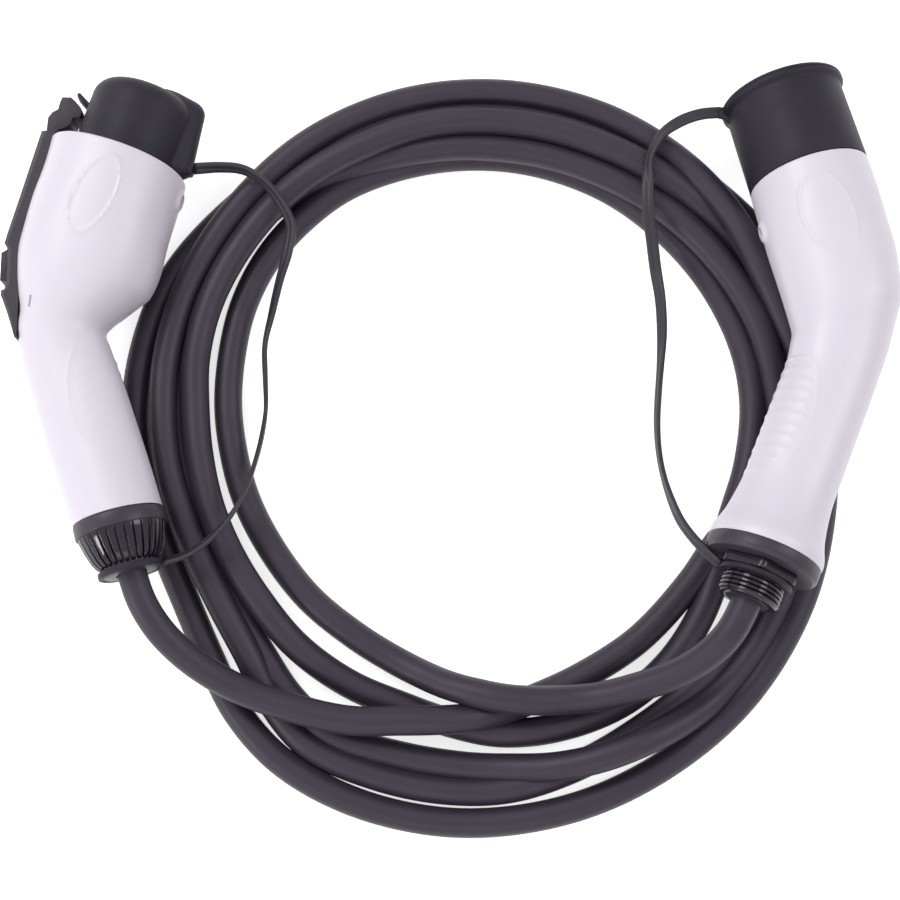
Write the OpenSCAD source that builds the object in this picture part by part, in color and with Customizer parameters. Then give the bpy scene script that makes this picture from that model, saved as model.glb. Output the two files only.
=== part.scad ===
// Charging cable for electric cars: a Type 1 car connector and a Type 2 station
// connector, each closed by a rubber cap on a strap, joined by five metres of cable.
// The cable lies in a flat coil and both connectors lie on it, as they come to rest.
// Each connector is drawn in a frame of its own: +Y out of its mouth, +X to the side
// its grip bends to (Type 1) or away from it (Type 2), +Z up from the table.

/* [Cable] */
// Outer diameter of the cable
cable_d = 13.2; // [12:0.1:14]
// Outer radius of the coil
coil_r = 170; // [160:1:175]
// Radius of the hole in the middle of the coil
coil_hole_r = 108; // [100:1:112]
// Where the coil's middle lies, left to right
coil_x = 14; // [10:1:18]
// Where the coil's middle lies, front to back
coil_y = -52; // [-56:1:-48]

/* [Type 1 shell] */
// Width of the shell at its mouth, from spine to belly
t1_mouth_w = 64.6; // [62:0.1:67]
// Thickness of the shell at its mouth, up and down
t1_mouth_t = 62; // [60:0.1:64]
// Length of the straight front part
t1_front_len = 60; // [56:0.5:64]
// Length of the grip, from the bend to the nut
t1_grip_len = 92; // [84:1:100]
// Angle between the front part and the grip
t1_grip_angle = 32.8; // [28:0.2:36]
// Width of the grip where the nut meets it
t1_grip_w = 40.6; // [39:0.1:42]
// Wall of both moulded shells
wall = 2.8; // [2.2:0.1:3.4]

/* [Type 1 barrel] */
// Outer diameter of the barrel that goes into the car
t1_barrel_d = 43.8; // [43:0.1:44.4]
// Length of the barrel in front of the shell
t1_barrel_len = 33.5; // [31:0.5:35]
// How far the barrel's axis lies from the shell's, towards the belly
t1_barrel_x = 2.3; // [1.5:0.1:2.8]
// Wall of both rubber caps
cap_wall = 2.5; // [2:0.1:3]

/* [Grip ribs] */
// How far the ribs stand out of both grips
rib_h = 0.5; // [0.3:0.1:0.8]
// Width of a rib
rib_w = 1.4; // [1:0.1:2]
// Distance between two ribs
rib_pitch = 5.5; // [4.5:0.5:7]

/* [Latch] */
// Width of the latch lever
latch_w = 14; // [12:0.5:15]
// Width of the cover over the lever
cover_w = 23; // [22:0.5:26]
// Diameter of the latch pin
latch_pin_d = 2.5; // [2:0.1:3]

/* [Cable nut] */
// Largest diameter of the ribbed nut
nut_d = 41.2; // [40:0.1:42]
// Length of the ribbed nut
nut_len = 26.5; // [25:0.5:28]
// Number of slots round the nut
nut_slots = 30; // [20:1:32]

/* [Type 2 shell] */
// Width of the shell at its mouth, from spine to belly
t2_mouth_w = 55.8; // [55:0.1:57]
// Length of the straight front part
t2_front_len = 58; // [54:0.5:62]
// Length of the grip, from the bend to the collar
t2_grip_len = 106; // [98:1:112]
// Angle between the front part and the grip
t2_grip_angle = 36.4; // [32:0.2:40]
// Width of the grip
t2_grip_w = 40.8; // [39:0.1:42]
// Diameter of the grip's flared end and of the collar on it
collar_d = 51; // [49:0.1:52]
// Thickness of the collar
collar_len = 6.5; // [5:0.5:8]

/* [Type 2 mouth] */
// Outer diameter of the shroud round the pins
shroud_d = 51.8; // [50:0.1:52]
// Length of the shroud in front of the shell
shroud_len = 40; // [36:0.5:42]
// Wall of the shroud
shroud_wall = 2.6; // [2:0.1:3]
// Diameter of the cap's lip
cap_lip_d = 58.2; // [57:0.1:60]

/* [Cable glands] */
// Diameter of the gland's screw thread
thread_d = 27.4; // [26:0.1:28]
// Distance between two thread crests
thread_pitch = 2; // [1.5:0.25:2.5]
// Room between pieces that slide into each other
fit = 0.15; // [0.05:0.05:0.3]

/* [Straps] */
// Width of the rubber straps
strap_w = 5.6; // [5:0.1:6]
// Thickness of the rubber straps
strap_t = 2; // [1.6:0.1:2.4]

/* [Hidden] */
$fn = 64;

// Where each connector lies: the middle of its mouth, its heading clockwise from +Y
// and how far its mouth leans down
t1_place = [coil_x - coil_r + 3.8, coil_y + 136.3, 31.6];
t1_heading = 17.2;
t1_lean = 1;
t2_place = [coil_x + coil_r - 15.3, coil_y + 128.1, 33.6];
t2_heading = -14;
t2_lean = 5.9;

// Where the two grips bend, in each connector's frame
t1_bend = [5.3, -t1_front_len - 20.9];
t2_bend = [-9, -t2_front_len - 23];

t1_half = t1_mouth_w / 2;
t2_half = t2_mouth_w / 2;
cable_r = cable_d / 2;
barrel_r = t1_barrel_d / 2;
shroud_r = shroud_d / 2;
thread_r = thread_d / 2;
// The seat that each shell's mouth gives its insert
seat_depth = 14;
t1_seat_r = min(t1_half, t1_mouth_t / 2) - wall;
seat_lead = 0.1;
t2_seat_r = shroud_r + seat_lead + fit;
// The wall at the cable end of each shell
end_wall = 5;

// A point turned clockwise by an angle
function turned(p, angle) = [
    p[0] * cos(angle) + p[1] * sin(angle),
    p[1] * cos(angle) - p[0] * sin(angle)
];
// A smooth curve through four rows of numbers, between the middle two
function through(a, b, c, d, f) =
    0.5 * (2 * b + (c - a) * f + (2 * a - 5 * b + 4 * c - d) * f * f
        + (3 * b - a - 3 * c + d) * f * f * f);
function smooth_rows(rows, steps) = concat(
    [for (i = [0:len(rows) - 2], k = [0:steps - 1])
        through(rows[max(i - 1, 0)], rows[i], rows[i + 1],
            rows[min(i + 2, len(rows) - 1)], k / steps)],
    [rows[len(rows) - 1]]
);
// Share of a half width at an angle round a rounded section
function bulge(x, power) = sign(x) * pow(abs(x), 2 / power);
// One section of a shell, from a row [left x, left y, right x, right y, half
// thickness, power], drawn in by an inset
function section(row, sides, inset) =
    let (
        mid = [row[0] + row[2], row[1] + row[3]] / 2,
        half = [row[2] - row[0], row[3] - row[1]] / 2,
        across = half * (norm(half) - inset) / norm(half),
        up = row[4] - inset
    )
    [for (i = [0:sides - 1])
        let (a = 360 * i / sides, u = bulge(cos(a), row[5]), v = bulge(sin(a), row[5]))
        [mid[0] + across[0] * u, mid[1] + across[1] * u, up * v]];
// A row of a grip: height above its end, left and right offsets, half thickness, power
function grip_row(row, bend, grip_len, angle) =
    let (
        left = bend + turned([row[1], row[0] - grip_len], angle),
        right = bend + turned([row[2], row[0] - grip_len], angle)
    )
    [left[0], left[1], right[0], right[1], row[3], row[4]];
function front_row(row) = [row[1], row[0], row[2], row[0], row[3], row[4]];
function bend_row(row, bend) = [
    bend[0] + row[0], bend[1] + row[1], bend[0] + row[2], bend[1] + row[3], row[4], row[5]
];

// A solid through a list of rings with the same number of points
module skin(rings, sides) {
    last = len(rings) - 1;
    polyhedron(
        points = [for (ring = rings) each ring],
        faces = concat(
            [[for (i = [0:sides - 1]) i]],
            [for (r = [0:last - 1], i = [0:sides - 1], half = [0, 1])
                let (
                    a = r * sides + i,
                    b = r * sides + (i + 1) % sides,
                    c = b + sides,
                    d = a + sides
                )
                half == 0 ? [a, d, c] : [a, c, b]],
            [[for (i = [sides - 1:-1:0]) last * sides + i]]
        )
    );
}

// Type 1: rows of the shell. The spine is on -X and the grip bends to +X
t1_front_rows = [
    [0, -t1_half, t1_half, t1_mouth_t / 2, 2.1],
    [-0.24 * t1_front_len, 1.4 - t1_half, t1_half + 0.8, t1_mouth_t / 2 - 0.2, 2.2],
    [-0.5 * t1_front_len, 1.6 - t1_half, t1_half + 1.4, t1_mouth_t / 2 - 0.7, 2.3],
    [-0.75 * t1_front_len, 2.6 - t1_half, t1_half + 2.9, t1_mouth_t / 2 - 1.6, 2.3],
    [-0.93 * t1_front_len, 3.8 - t1_half, t1_half + 1.9, t1_mouth_t / 2 - 3, 2.3]
];
t1_bend_rows = [
    [-30.3, 13.9, 25.3, 19.4, 26.4, 2.3],
    [-26.8, 5.4, 20.7, 12.1, 24, 2.3],
    [-23.6, -2.1, 17.6, 7.1, 21.8, 2.2],
    [-21.3, -11.6, 16.1, 1.4, 20, 2.2]
];
t1_grip_half = t1_grip_w / 2;
t1_grip_rows = [
    [t1_grip_len - 15, -t1_grip_half - 4.6, t1_grip_half - 5.5, 18.8, 2.2],
    [t1_grip_len - 35, -t1_grip_half - 3.6, t1_grip_half - 3.5, 18.6, 2.2],
    [0.41 * t1_grip_len, -t1_grip_half - 3, t1_grip_half - 2.1, 18.8, 2.1],
    [0.22 * t1_grip_len, -t1_grip_half - 1.6, t1_grip_half - 0.9, 19.4, 2],
    [0, -t1_grip_half, t1_grip_half, t1_grip_half, 2]
];
t1_rows = concat(
    [for (row = t1_front_rows) front_row(row)],
    [for (row = t1_bend_rows) bend_row(row, t1_bend)],
    [for (row = t1_grip_rows) grip_row(row, t1_bend, t1_grip_len, -t1_grip_angle)]
);

// Type 2: rows of the shell. The spine is on +X and the grip bends to -X
t2_front_rows = [
    [0, -t2_half, t2_half, t2_half, 2],
    [-0.27 * t2_front_len, -t2_half - 0.5, t2_half - 0.2, t2_half - 0.3, 2.1],
    [-0.55 * t2_front_len, -t2_half - 0.8, t2_half - 1, t2_half - 1, 2.2],
    [-0.82 * t2_front_len, -t2_half - 0.8, t2_half - 1.8, t2_half - 2, 2.2]
];
t2_bend_rows = [
    [-20, 17.6, 31, 13.6, 24.4, 2.2],
    [-20.6, 10.8, 26.8, 5.4, 22.8, 2.2],
    [-22.7, 6.1, 21.7, -3.1, 21, 2.2],
    [-26.4, -1, 15.9, -12.4, 19.4, 2.2]
];
t2_grip_half = t2_grip_w / 2;
t2_grip_t = 18.4;
t2_grip_rows = [
    [t2_grip_len - 21, -t2_grip_half, t2_grip_half, t2_grip_t, 2.2],
    [t2_grip_len - 42, -t2_grip_half, t2_grip_half, t2_grip_t, 2.2],
    [t2_grip_len * 0.42, -t2_grip_half, t2_grip_half, t2_grip_t, 2.2],
    [t2_grip_len * 0.27, -t2_grip_half - 0.2, t2_grip_half + 0.2, t2_grip_t + 0.8, 2.1],
    [t2_grip_len * 0.13, -t2_grip_half - 2.2, t2_grip_half + 2.2, t2_grip_t + 3.8, 2],
    [0.04 * t2_grip_len, -collar_d / 2, collar_d / 2, collar_d / 2, 2],
    [0, -collar_d / 2, collar_d / 2, collar_d / 2, 2]
];
t2_rows = concat(
    [for (row = t2_front_rows) front_row(row)],
    [for (row = t2_bend_rows) bend_row(row, t2_bend)],
    [for (row = t2_grip_rows) grip_row(row, t2_bend, t2_grip_len, t2_grip_angle)]
);

shell_sides = 36;
cavity_sides = 20;

module type1_frame() {
    translate(t1_place) rotate([0, 0, -t1_heading]) rotate([-t1_lean, 0, 0]) children();
}
module type2_frame() {
    translate(t2_place) rotate([0, 0, -t2_heading]) rotate([-t2_lean, 0, 0]) children();
}
// The middle of each shell's cable end, +Y up the grip
module type1_cable_end() {
    end = t1_bend + turned([0, -t1_grip_len], -t1_grip_angle);
    type1_frame() translate(end) rotate(t1_grip_angle) children();
}
module type2_cable_end() {
    end = t2_bend + turned([0, -t2_grip_len], t2_grip_angle);
    type2_frame() translate(end) rotate(-t2_grip_angle) children();
}
// A cylinder, or an outline turned, along +Y from a starting height
module along_y(y) {
    translate([0, y, 0]) rotate([-90, 0, 0]) children();
}

// The room inside a shell: the same rows, drawn in by the wall. The Type 1 spine is
// kept thick where the latch lies on it
latch_room = 5;
function narrowed(row, extra) =
    let (
        across = [row[2] - row[0], row[3] - row[1]],
        step = across / norm(across) * extra
    )
    [row[0] + step[0], row[1] + step[1], row[2], row[3], row[4], row[5]];
seat_shoulder = 1.8;
t1_seat_inner = t1_seat_r - seat_shoulder + wall;
t2_seat_inner = t2_seat_r - seat_shoulder + wall;
t1_cavity_rows = concat(
    [front_row([-seat_depth + 1, -t1_seat_inner, t1_seat_inner, t1_seat_inner, 2])],
    [for (i = [1:len(t1_rows) - 3]) narrowed(t1_rows[i], latch_room)],
    [t1_rows[len(t1_rows) - 2]],
    [grip_row([end_wall, -t1_grip_half, t1_grip_half, t1_grip_half, 2],
        t1_bend, t1_grip_len, -t1_grip_angle)]
);
t2_cavity_rows = concat(
    [front_row([-seat_depth + 1, -t2_seat_inner, t2_seat_inner, t2_seat_inner, 2])],
    [for (i = [1:len(t2_rows) - 3]) t2_rows[i]],
    [grip_row([end_wall, -collar_d / 2, collar_d / 2, collar_d / 2, 2],
        t2_bend, t2_grip_len, t2_grip_angle)]
);

// Screws that hold each insert, on the belly side
t1_screw_y = -9.7;
t2_screw_y = -21;
screw_r = 1.5;
screw_head_r = 2.8;
screw_head_h = 1.8;
screw_depth = 9;
// How deep under the housing's side each screw's seat lies
seat_sink = 1.2;
boss_r = 4.6;
boss_h = 1.6;
module screw(surface, y) {
    color("dimgray") translate([surface, y, 0]) rotate([0, 90, 0]) {
        difference() {
            cylinder(r = screw_head_r, h = screw_head_h);
            translate([0, 0, 1]) cylinder(r = 1.2, h = 2, $fn = 6);
        }
        translate([0, 0, -screw_depth]) cylinder(r = screw_r, h = screw_depth + 0.5);
    }
}
// The hole for the head and the shank, and the round boss that it goes through
module screw_way(surface, y) {
    translate([surface, y, 0]) rotate([0, 90, 0]) {
        cylinder(r = screw_head_r + fit, h = 12);
        translate([0, 0, -12]) cylinder(r = screw_r, h = 13);
    }
}
module screw_boss(surface, y) {
    translate([surface, y, 0]) rotate([0, 90, 0]) cylinder(r = boss_r, h = seat_sink + boss_h);
}
t1_screw_x = t1_half - seat_sink;
t2_screw_x = t2_half - seat_sink;

// The hole at the cable end of each shell, where the gland is screwed in
module gland_hole() {
    along_y(-1) cylinder(r = gland_neck_r, h = end_wall + 8);
}
gland_neck_r = thread_r - 1.2;

// Seat of the latch cover on the spine, and the cover's outline seen from above
seat_x = -t1_half + 4.2;
tail = t1_bend + turned([-t1_grip_half - 4.7, -13], -t1_grip_angle);
tail_step = [2.4, 1];
seat_line = [
    [seat_x, 2], [seat_x + 0.6, -50], [-25, -61], [-21.4, -71], [-19, -77],
    [-16.2, -83], tail + tail_step
];
cover_line = [
    tail, [-19.4, -90], [-22.8, -85], [-25.3, -80.8], [-28.4, -78.4], [-30.8, -75.6],
    [-33.8, -72], [-34.8, -66], [-35, -55.5], [-35.5, -46.5], [-36.9, -30],
    [-37.7, -13], [-37.8, 1.4], [seat_x, 1.4]
];
latch_pivot = [seat_x - 3.3, -22];
latch_boss_r = 2.7;
pivot_room = 0.08;
spring_y = -49;
spring_bottom = seat_x + 3.4;
spring_top = -31.3;
pad_back = -57;

module latch_seat() {
    linear_extrude(cover_w, center = true)
        polygon(concat(seat_line, [tail - 10 * tail_step, [-60, tail[1]], [-60, 2]]));
}
module spring_pocket() {
    translate([spring_bottom, spring_y, 0]) rotate([0, -90, 0]) cylinder(r = 2.9, h = 12);
}

// Low ribs across a grip, cut from a skin that stands out by their height. They reach
// from an outer edge to an arc, and stand where the fingers close
module ribs(rows, from, to, outer_x, inner_x, bow, place, angle) {
    count = floor((to - from) / rib_pitch);
    middle = (from + to) / 2;
    intersection() {
        skin([for (row = smooth_rows(rows, 2)) section(row, shell_sides, -rib_h)], shell_sides);
        translate(place) rotate(angle) for (i = [0:count]) {
            y = from + i * rib_pitch;
            inner = inner_x + bow * pow((y - middle) / (to - middle), 2);
            translate([(outer_x + inner) / 2, y, 0])
                cube([abs(outer_x - inner), rib_w, t1_mouth_t], center = true);
        }
    }
}
module type1_shell() {
    end = t1_bend + turned([0, -t1_grip_len], -t1_grip_angle);
    color("white") type1_frame() difference() {
        union() {
            skin([for (row = smooth_rows(t1_rows, 2)) section(row, shell_sides, 0)],
                shell_sides);
            ribs(t1_rows, 0.4 * t1_grip_len, 0.79 * t1_grip_len, 16, -2, 7, end,
                t1_grip_angle);
            screw_boss(t1_screw_x, t1_screw_y);
        }
        skin([for (row = t1_cavity_rows) section(row, cavity_sides, wall)], cavity_sides);
        along_y(-seat_depth) cylinder(r = t1_seat_r, h = seat_depth + 1);
        latch_seat();
        spring_pocket();
        screw_way(t1_screw_x, t1_screw_y);
        translate(end) rotate(t1_grip_angle) gland_hole();
    }
}

// Black insert of the car connector: a flange in the shell's mouth and the barrel
t1_power = [[-7.9, 6.8], [-7.9, -6.8]];
t1_signal = [[5.6, 10.6], [5.6, -10.6]];
t1_earth = [[10.6, 0]];
t1_contact_y = -24;
power_contact_r = 3.1;
earth_contact_r = 2.8;
signal_contact_r = 2;
module holes_along_y(places, radius, y, depth) {
    for (place = places) translate([place[0], 0, place[1]]) along_y(y)
        cylinder(r = radius, h = depth);
}
module type1_insert() {
    color("#242228") type1_frame() difference() {
        union() {
            along_y(-seat_depth + 1) cylinder(r = t1_seat_r - fit, h = seat_depth - 2);
            translate([t1_barrel_x, 0, 0]) along_y(-18) rotate_extrude()
                polygon([[0, 0], [barrel_r, 0], [barrel_r, 18 + t1_barrel_len - 1.2],
                    [barrel_r - 1.2, 18 + t1_barrel_len], [0, 18 + t1_barrel_len]]);
        }
        translate([t1_barrel_x, 0, 0]) {
            holes_along_y(t1_power, power_contact_r, -30, 70);
            holes_along_y(t1_signal, signal_contact_r, -30, 70);
            holes_along_y(t1_earth, earth_contact_r, -30, 70);
        }
        translate([t1_screw_x, t1_screw_y, 0]) rotate([0, -90, 0])
            cylinder(r = screw_r, h = screw_depth + 1);
    }
}
// A row of round sockets, open at the mouth
module sockets(places, radius, hole_r) {
    type1_frame() translate([t1_barrel_x, 0, 0]) for (place = places)
        translate([place[0], 0, place[1]]) along_y(t1_contact_y) difference() {
            cylinder(r = radius, h = t1_barrel_len - t1_contact_y - 3);
            translate([0, 0, 20]) cylinder(r = hole_r, h = t1_barrel_len);
        }
}
module type1_power_contacts() { color("goldenrod") sockets(t1_power, power_contact_r, 1.8); }
module type1_earth_contact() { color("goldenrod") sockets(t1_earth, earth_contact_r, 1.4); }
module type1_signal_contacts() {
    color("goldenrod") sockets(t1_signal, signal_contact_r, 0.9);
}

// Black cover screwed along the spine, hollow over the lever, open over the thumb pad
cover_wall = 1.9;
lever_room = 0.6;
module latch_cover() {
    color("#242228") type1_frame() difference() {
        intersection() {
            linear_extrude(cover_w, center = true) polygon(concat(seat_line, cover_line));
            along_y(-110) linear_extrude(120) hull() {
                translate([-34, 0]) circle(r = 3.8, $fn = 32);
                for (z = [-1, 1]) translate([-33, z * (cover_w / 2 - 4)])
                    circle(r = 4, $fn = 32);
                translate([10, 0]) square([20, cover_w], center = true);
            }
        }
        linear_extrude(latch_w + 2 * lever_room, center = true) polygon([
            [-10, 10], [-36.3, 10], [-36.3, 1], [-35, -30], [-33.6, -46], [-33.4, pad_back + 2],
            [-60, pad_back + 2], [-60, pad_back - 19], [-22, pad_back - 19], [-10, -60]
        ]);
        translate(latch_pivot) cylinder(d = latch_pin_d, h = 60, center = true);
    }
}
module latch_lever() {
    color("#242228") type1_frame() difference() {
        union() {
            linear_extrude(latch_w, center = true) polygon([
                [-33.9, 1], [-35.6, 3.2], [-37, 9.1], [-36, 12.2], [-34, 14.3], [-34.3, 17.8],
                [-34.1, 20.5], [-30.1, 21.7], [-27.6, 20.4], [-24.4, 18.4], [-22.9, 16.3],
                [-22.9, 13.7], [-26, 12.4], [-26, 9], [-28, 6.4], [-30.6, 4.6], [-31, -19.6],
                [-31.3, -46], [spring_top, -52], [-30.8, pad_back], [-29.2, -62], [-26.6, -70],
                [-28, -71.6], [-32.6, -71.8], [-36.4, -61.8], [-37.2, -59.2],
                [-35.4, pad_back - 0.2], [-32.9, pad_back + 1.4], [-32.9, -46], [-33.9, -30]
            ]);
            translate(latch_pivot) cylinder(r = latch_boss_r, h = latch_w, center = true);
        }
        translate(latch_pivot)
            cylinder(d = latch_pin_d + 2 * pivot_room, h = 60, center = true);
    }
}
module latch_pin() {
    color("silver") type1_frame() translate(latch_pivot)
        cylinder(d = latch_pin_d, h = cover_w - 2, center = true);
}
// Compression spring under the lever, swept as a helix
spring_wire_r = 0.35;
spring_r = 2.3;
spring_turns = 5;
module latch_spring() {
    rise = abs(spring_top - spring_bottom) - 2 * spring_wire_r;
    steps = 12 * spring_turns;
    rings = [for (i = [0:steps])
        let (a = 30 * i, h = spring_wire_r + rise * i / steps)
        [for (k = [0:5])
            let (b = 60 * k, r = spring_r + spring_wire_r * cos(b))
            [r * cos(a), r * sin(a), h + spring_wire_r * sin(b)]]];
    color("silver") type1_frame() translate([spring_bottom, spring_y, 0]) rotate([0, -90, 0])
        skin(rings, 6);
}
module type1_screw() { type1_frame() screw(t1_screw_x, t1_screw_y); }

// Gland body: a neck in the shell's end wall, a flange and a threaded sleeve
gland_inner_len = end_wall + 3;
cable_room = 0.4;
seal_pocket_r = 9.8;
seal_r = seal_pocket_r - fit;
seal_len = 4.4;
nut_seal_y = -18.4;
sleeve_r = thread_r - 1;
sleeve_len = 14;
cut_room = 0.1;
module gland_bore(from, to) {
    along_y(from) cylinder(r = cable_r + cable_room, h = to - from);
}
module type1_gland_body() {
    color("#1c1b20") type1_cable_end() difference() {
        union() {
            along_y(0) cylinder(r = gland_neck_r - fit, h = gland_inner_len);
            along_y(-sleeve_len) cylinder(r = sleeve_r, h = sleeve_len);
        }
        gland_bore(-20, 12);
    }
}
module type1_seal() {
    color("#333038") type1_cable_end() along_y(nut_seal_y) difference() {
        cylinder(r = seal_r, h = seal_len);
        translate([0, 0, -1]) cylinder(r = cable_r, h = 8);
    }
}
// Ribbed nut that squeezes the seal round the cable
nut_r = nut_d / 2;
nut_rim_len = 7;
lip_r = 12.8;
module dome_nut() {
    pocket_y = nut_len + nut_seal_y - 0.2;
    sleeve_y = nut_len - sleeve_len - 0.2;
    color("#1c1b20") type1_cable_end() difference() {
        along_y(-nut_len) rotate_extrude() polygon([
            [0, 0], [lip_r - 0.6, 0], [lip_r, 0.8], [lip_r, 3.2], [14.6, nut_len - 21.5],
            [16.4, nut_len - 18.4], [18, nut_len - 14], [19.4, nut_len - 9],
            [nut_r - 0.2, nut_len - nut_rim_len], [nut_r, nut_len - nut_rim_len + 1],
            [nut_r, nut_len - 0.8], [nut_r - 0.8, nut_len], [0, nut_len]
        ]);
        along_y(-nut_len) rotate_extrude() polygon([
            [0, -1], [cable_r + cable_room, -1], [cable_r + cable_room, pocket_y],
            [seal_pocket_r, pocket_y], [seal_pocket_r, sleeve_y],
            [sleeve_r + 2 * cut_room, sleeve_y], [sleeve_r + 2 * cut_room, nut_len + 1],
            [0, nut_len + 1]
        ]);
        along_y(-nut_len + 4.6) for (i = [0:nut_slots - 1]) rotate(i * 360 / nut_slots)
            translate([12.6, -0.8, 0]) rotate([0, 17, 0])
                cube([10, 1.6, nut_len - nut_rim_len - 4]);
    }
}
module ring(outer_r, inner_r, from, to) {
    along_y(from) difference() {
        cylinder(r = outer_r, h = to - from);
        translate([0, 0, -1]) cylinder(r = inner_r, h = to - from + 2);
    }
}
module type1_tether_ring() {
    color("#3b3640") type1_cable_end() ring(lip_r + 2, lip_r, -nut_len, -nut_len + 3);
}

// Rubber cap over the barrel, with a lobe on the belly side that carries the strap
t1_cap_len = t1_barrel_len + cap_wall;
t1_cap_r = barrel_r + cap_wall + 0.1;
cap_round = 6;
lobe_x = 26.6;
lobe_r = 7;
lobe_root_x = 14;
lobe_root_r = 13;
pull_tab_y = 25;
pull_tab_len = 7;
pull_tab_t = 2.2;
t1_strap_root = [lobe_x + lobe_r, 7.5];
module type1_cap() {
    color("#3b3640") type1_frame() difference() {
        union() {
            translate([t1_barrel_x, 0, 0]) along_y(0.2) rotate_extrude() union() {
                square([t1_cap_r, t1_cap_len - cap_round]);
                square([t1_cap_r - cap_round, t1_cap_len]);
                translate([t1_cap_r - cap_round, t1_cap_len - cap_round])
                    circle(r = cap_round);
            }
            hull() {
                translate([lobe_x, 0, 0]) along_y(0.2) cylinder(r = lobe_r, h = 4, $fn = 32);
                translate([lobe_x, t1_cap_len - 9, 0]) sphere(r = lobe_r, $fn = 32);
                translate([lobe_root_x, 0, 0]) along_y(0.2)
                    cylinder(r = lobe_root_r, h = 4, $fn = 32);
                translate([lobe_root_x, t1_cap_len - lobe_root_r, 0])
                    sphere(r = lobe_root_r, $fn = 32);
            }
            translate([t1_strap_root[0] - 4, t1_strap_root[1] - strap_t / 2, -strap_w / 2])
                cube([4.6, strap_t, strap_w]);
            translate([t1_barrel_x - t1_cap_r - 1.6, pull_tab_y, 0]) rotate(-45)
                cube([pull_tab_len, pull_tab_t, 2 * pull_tab_len], center = true);
        }
        translate([t1_barrel_x, 0, 0]) along_y(-1)
            cylinder(r = barrel_r + 0.1, h = t1_barrel_len + 1.3);
    }
}

// Type 2
module type2_shell() {
    end = t2_bend + turned([0, -t2_grip_len], t2_grip_angle);
    color("white") type2_frame() difference() {
        union() {
            skin([for (row = smooth_rows(t2_rows, 2)) section(row, shell_sides, 0)],
                shell_sides);
            ribs(t2_rows, 0.3 * t2_grip_len, 0.82 * t2_grip_len, -30, -5, -8, end,
                -t2_grip_angle);
            mirror([1, 0, 0]) screw_boss(t2_screw_x, t2_screw_y);
        }
        skin([for (row = t2_cavity_rows) section(row, cavity_sides, wall)], cavity_sides);
        along_y(-seat_depth) cylinder(r = t2_seat_r, h = seat_depth + 1);
        mirror([1, 0, 0]) screw_way(t2_screw_x, t2_screw_y);
        translate(end) rotate(-t2_grip_angle) gland_hole();
    }
}
module type2_screw() { type2_frame() mirror([1, 0, 0]) screw(t2_screw_x, t2_screw_y); }

// Insert of the station connector: a plug body in the mouth and a flat-topped shroud
flat_x = shroud_r - 4.5;
floor_y = 5;
t2_power = [[0, 15.6], [0, -15.6]];
t2_earth = [[0, 0]];
t2_signal = [[10.4, 7.8], [10.4, -7.8]];
power_pin_r = 3;
signal_pin_r = 1.5;
pin_back = -16;
// The block behind the plug body, which the screw goes into
block_r = 22;
block_y = -27;
module shroud_outline(inset) {
    intersection() {
        circle(r = shroud_r - inset);
        translate([-60, -60]) square([60 + flat_x - inset, 120]);
    }
}
module type2_insert() {
    color("#242228") type2_frame() difference() {
        union() {
            along_y(-seat_depth + 1) cylinder(r = t2_seat_r - fit, h = seat_depth - 2);
            along_y(-seat_depth + 1) linear_extrude(shroud_len + seat_depth - 1)
                shroud_outline(0);
            along_y(block_y) cylinder(r = block_r, h = -block_y - seat_depth + 2);
        }
        along_y(floor_y) linear_extrude(shroud_len) shroud_outline(shroud_wall);
        holes_along_y(t2_power, power_pin_r, -30, 50);
        holes_along_y(t2_earth, power_pin_r, -30, 50);
        holes_along_y(t2_signal, signal_pin_r, -30, 50);
        mirror([1, 0, 0]) translate([t2_screw_x, t2_screw_y, 0]) rotate([0, -90, 0])
            cylinder(r = screw_r, h = screw_depth + 1);
    }
}
// A row of round-nosed pins from behind the plug body to inside the shroud
module pins(places, radius, tip_y) {
    type2_frame() for (place = places) translate([place[0], 0, place[1]])
        along_y(pin_back) rotate_extrude() polygon([
            [0, 0], [radius, 0], [radius, tip_y - pin_back - 1.5],
            [radius - 0.5, tip_y - pin_back - 0.5], [radius - 1.2, tip_y - pin_back],
            [0, tip_y - pin_back]
        ]);
}
module type2_power_pins() { color("silver") pins(t2_power, power_pin_r, shroud_len - 7); }
module type2_earth_pin() { color("silver") pins(t2_earth, power_pin_r, shroud_len - 5); }
module type2_signal_pins() { color("silver") pins(t2_signal, signal_pin_r, shroud_len - 14); }

// Collar, hexagon and thread at the station connector's cable end
hex_len = 4.3;
hex_r = 18.8;
thread_len = 12;
thread_depth = 1.1;
module type2_collar() {
    color("#1c1b20") type2_cable_end() along_y(-collar_len) rotate_extrude() polygon([
        [gland_neck_r, 0], [collar_d / 2 - 1.6, 0], [collar_d / 2, 1.6],
        [collar_d / 2, collar_len], [gland_neck_r, collar_len]
    ]);
}
module type2_gland_body() {
    hex_from = -collar_len - hex_len;
    crests = floor(thread_len / thread_pitch);
    color("#1c1b20") type2_cable_end() difference() {
        union() {
            along_y(hex_from + 1) cylinder(r = gland_neck_r - fit,
                h = collar_len + hex_len - 1 + gland_inner_len);
            along_y(hex_from) rotate(30) cylinder(r = hex_r, h = hex_len, $fn = 6);
            along_y(hex_from - thread_len) rotate_extrude() polygon(concat(
                [[0, 0]],
                [for (i = [0:crests - 1], edge = [[0.1, 1], [0.45, 0], [0.6, 0], [0.95, 1]])
                    [thread_r - edge[1] * thread_depth, (i + edge[0]) * thread_pitch]],
                [[thread_r - thread_depth, thread_len + 1], [0, thread_len + 1]]
            ));
        }
        gland_bore(-40, 12);
        along_y(hex_from - thread_len - 1) cylinder(r = seal_pocket_r, h = seal_len + 1);
    }
}
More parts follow.
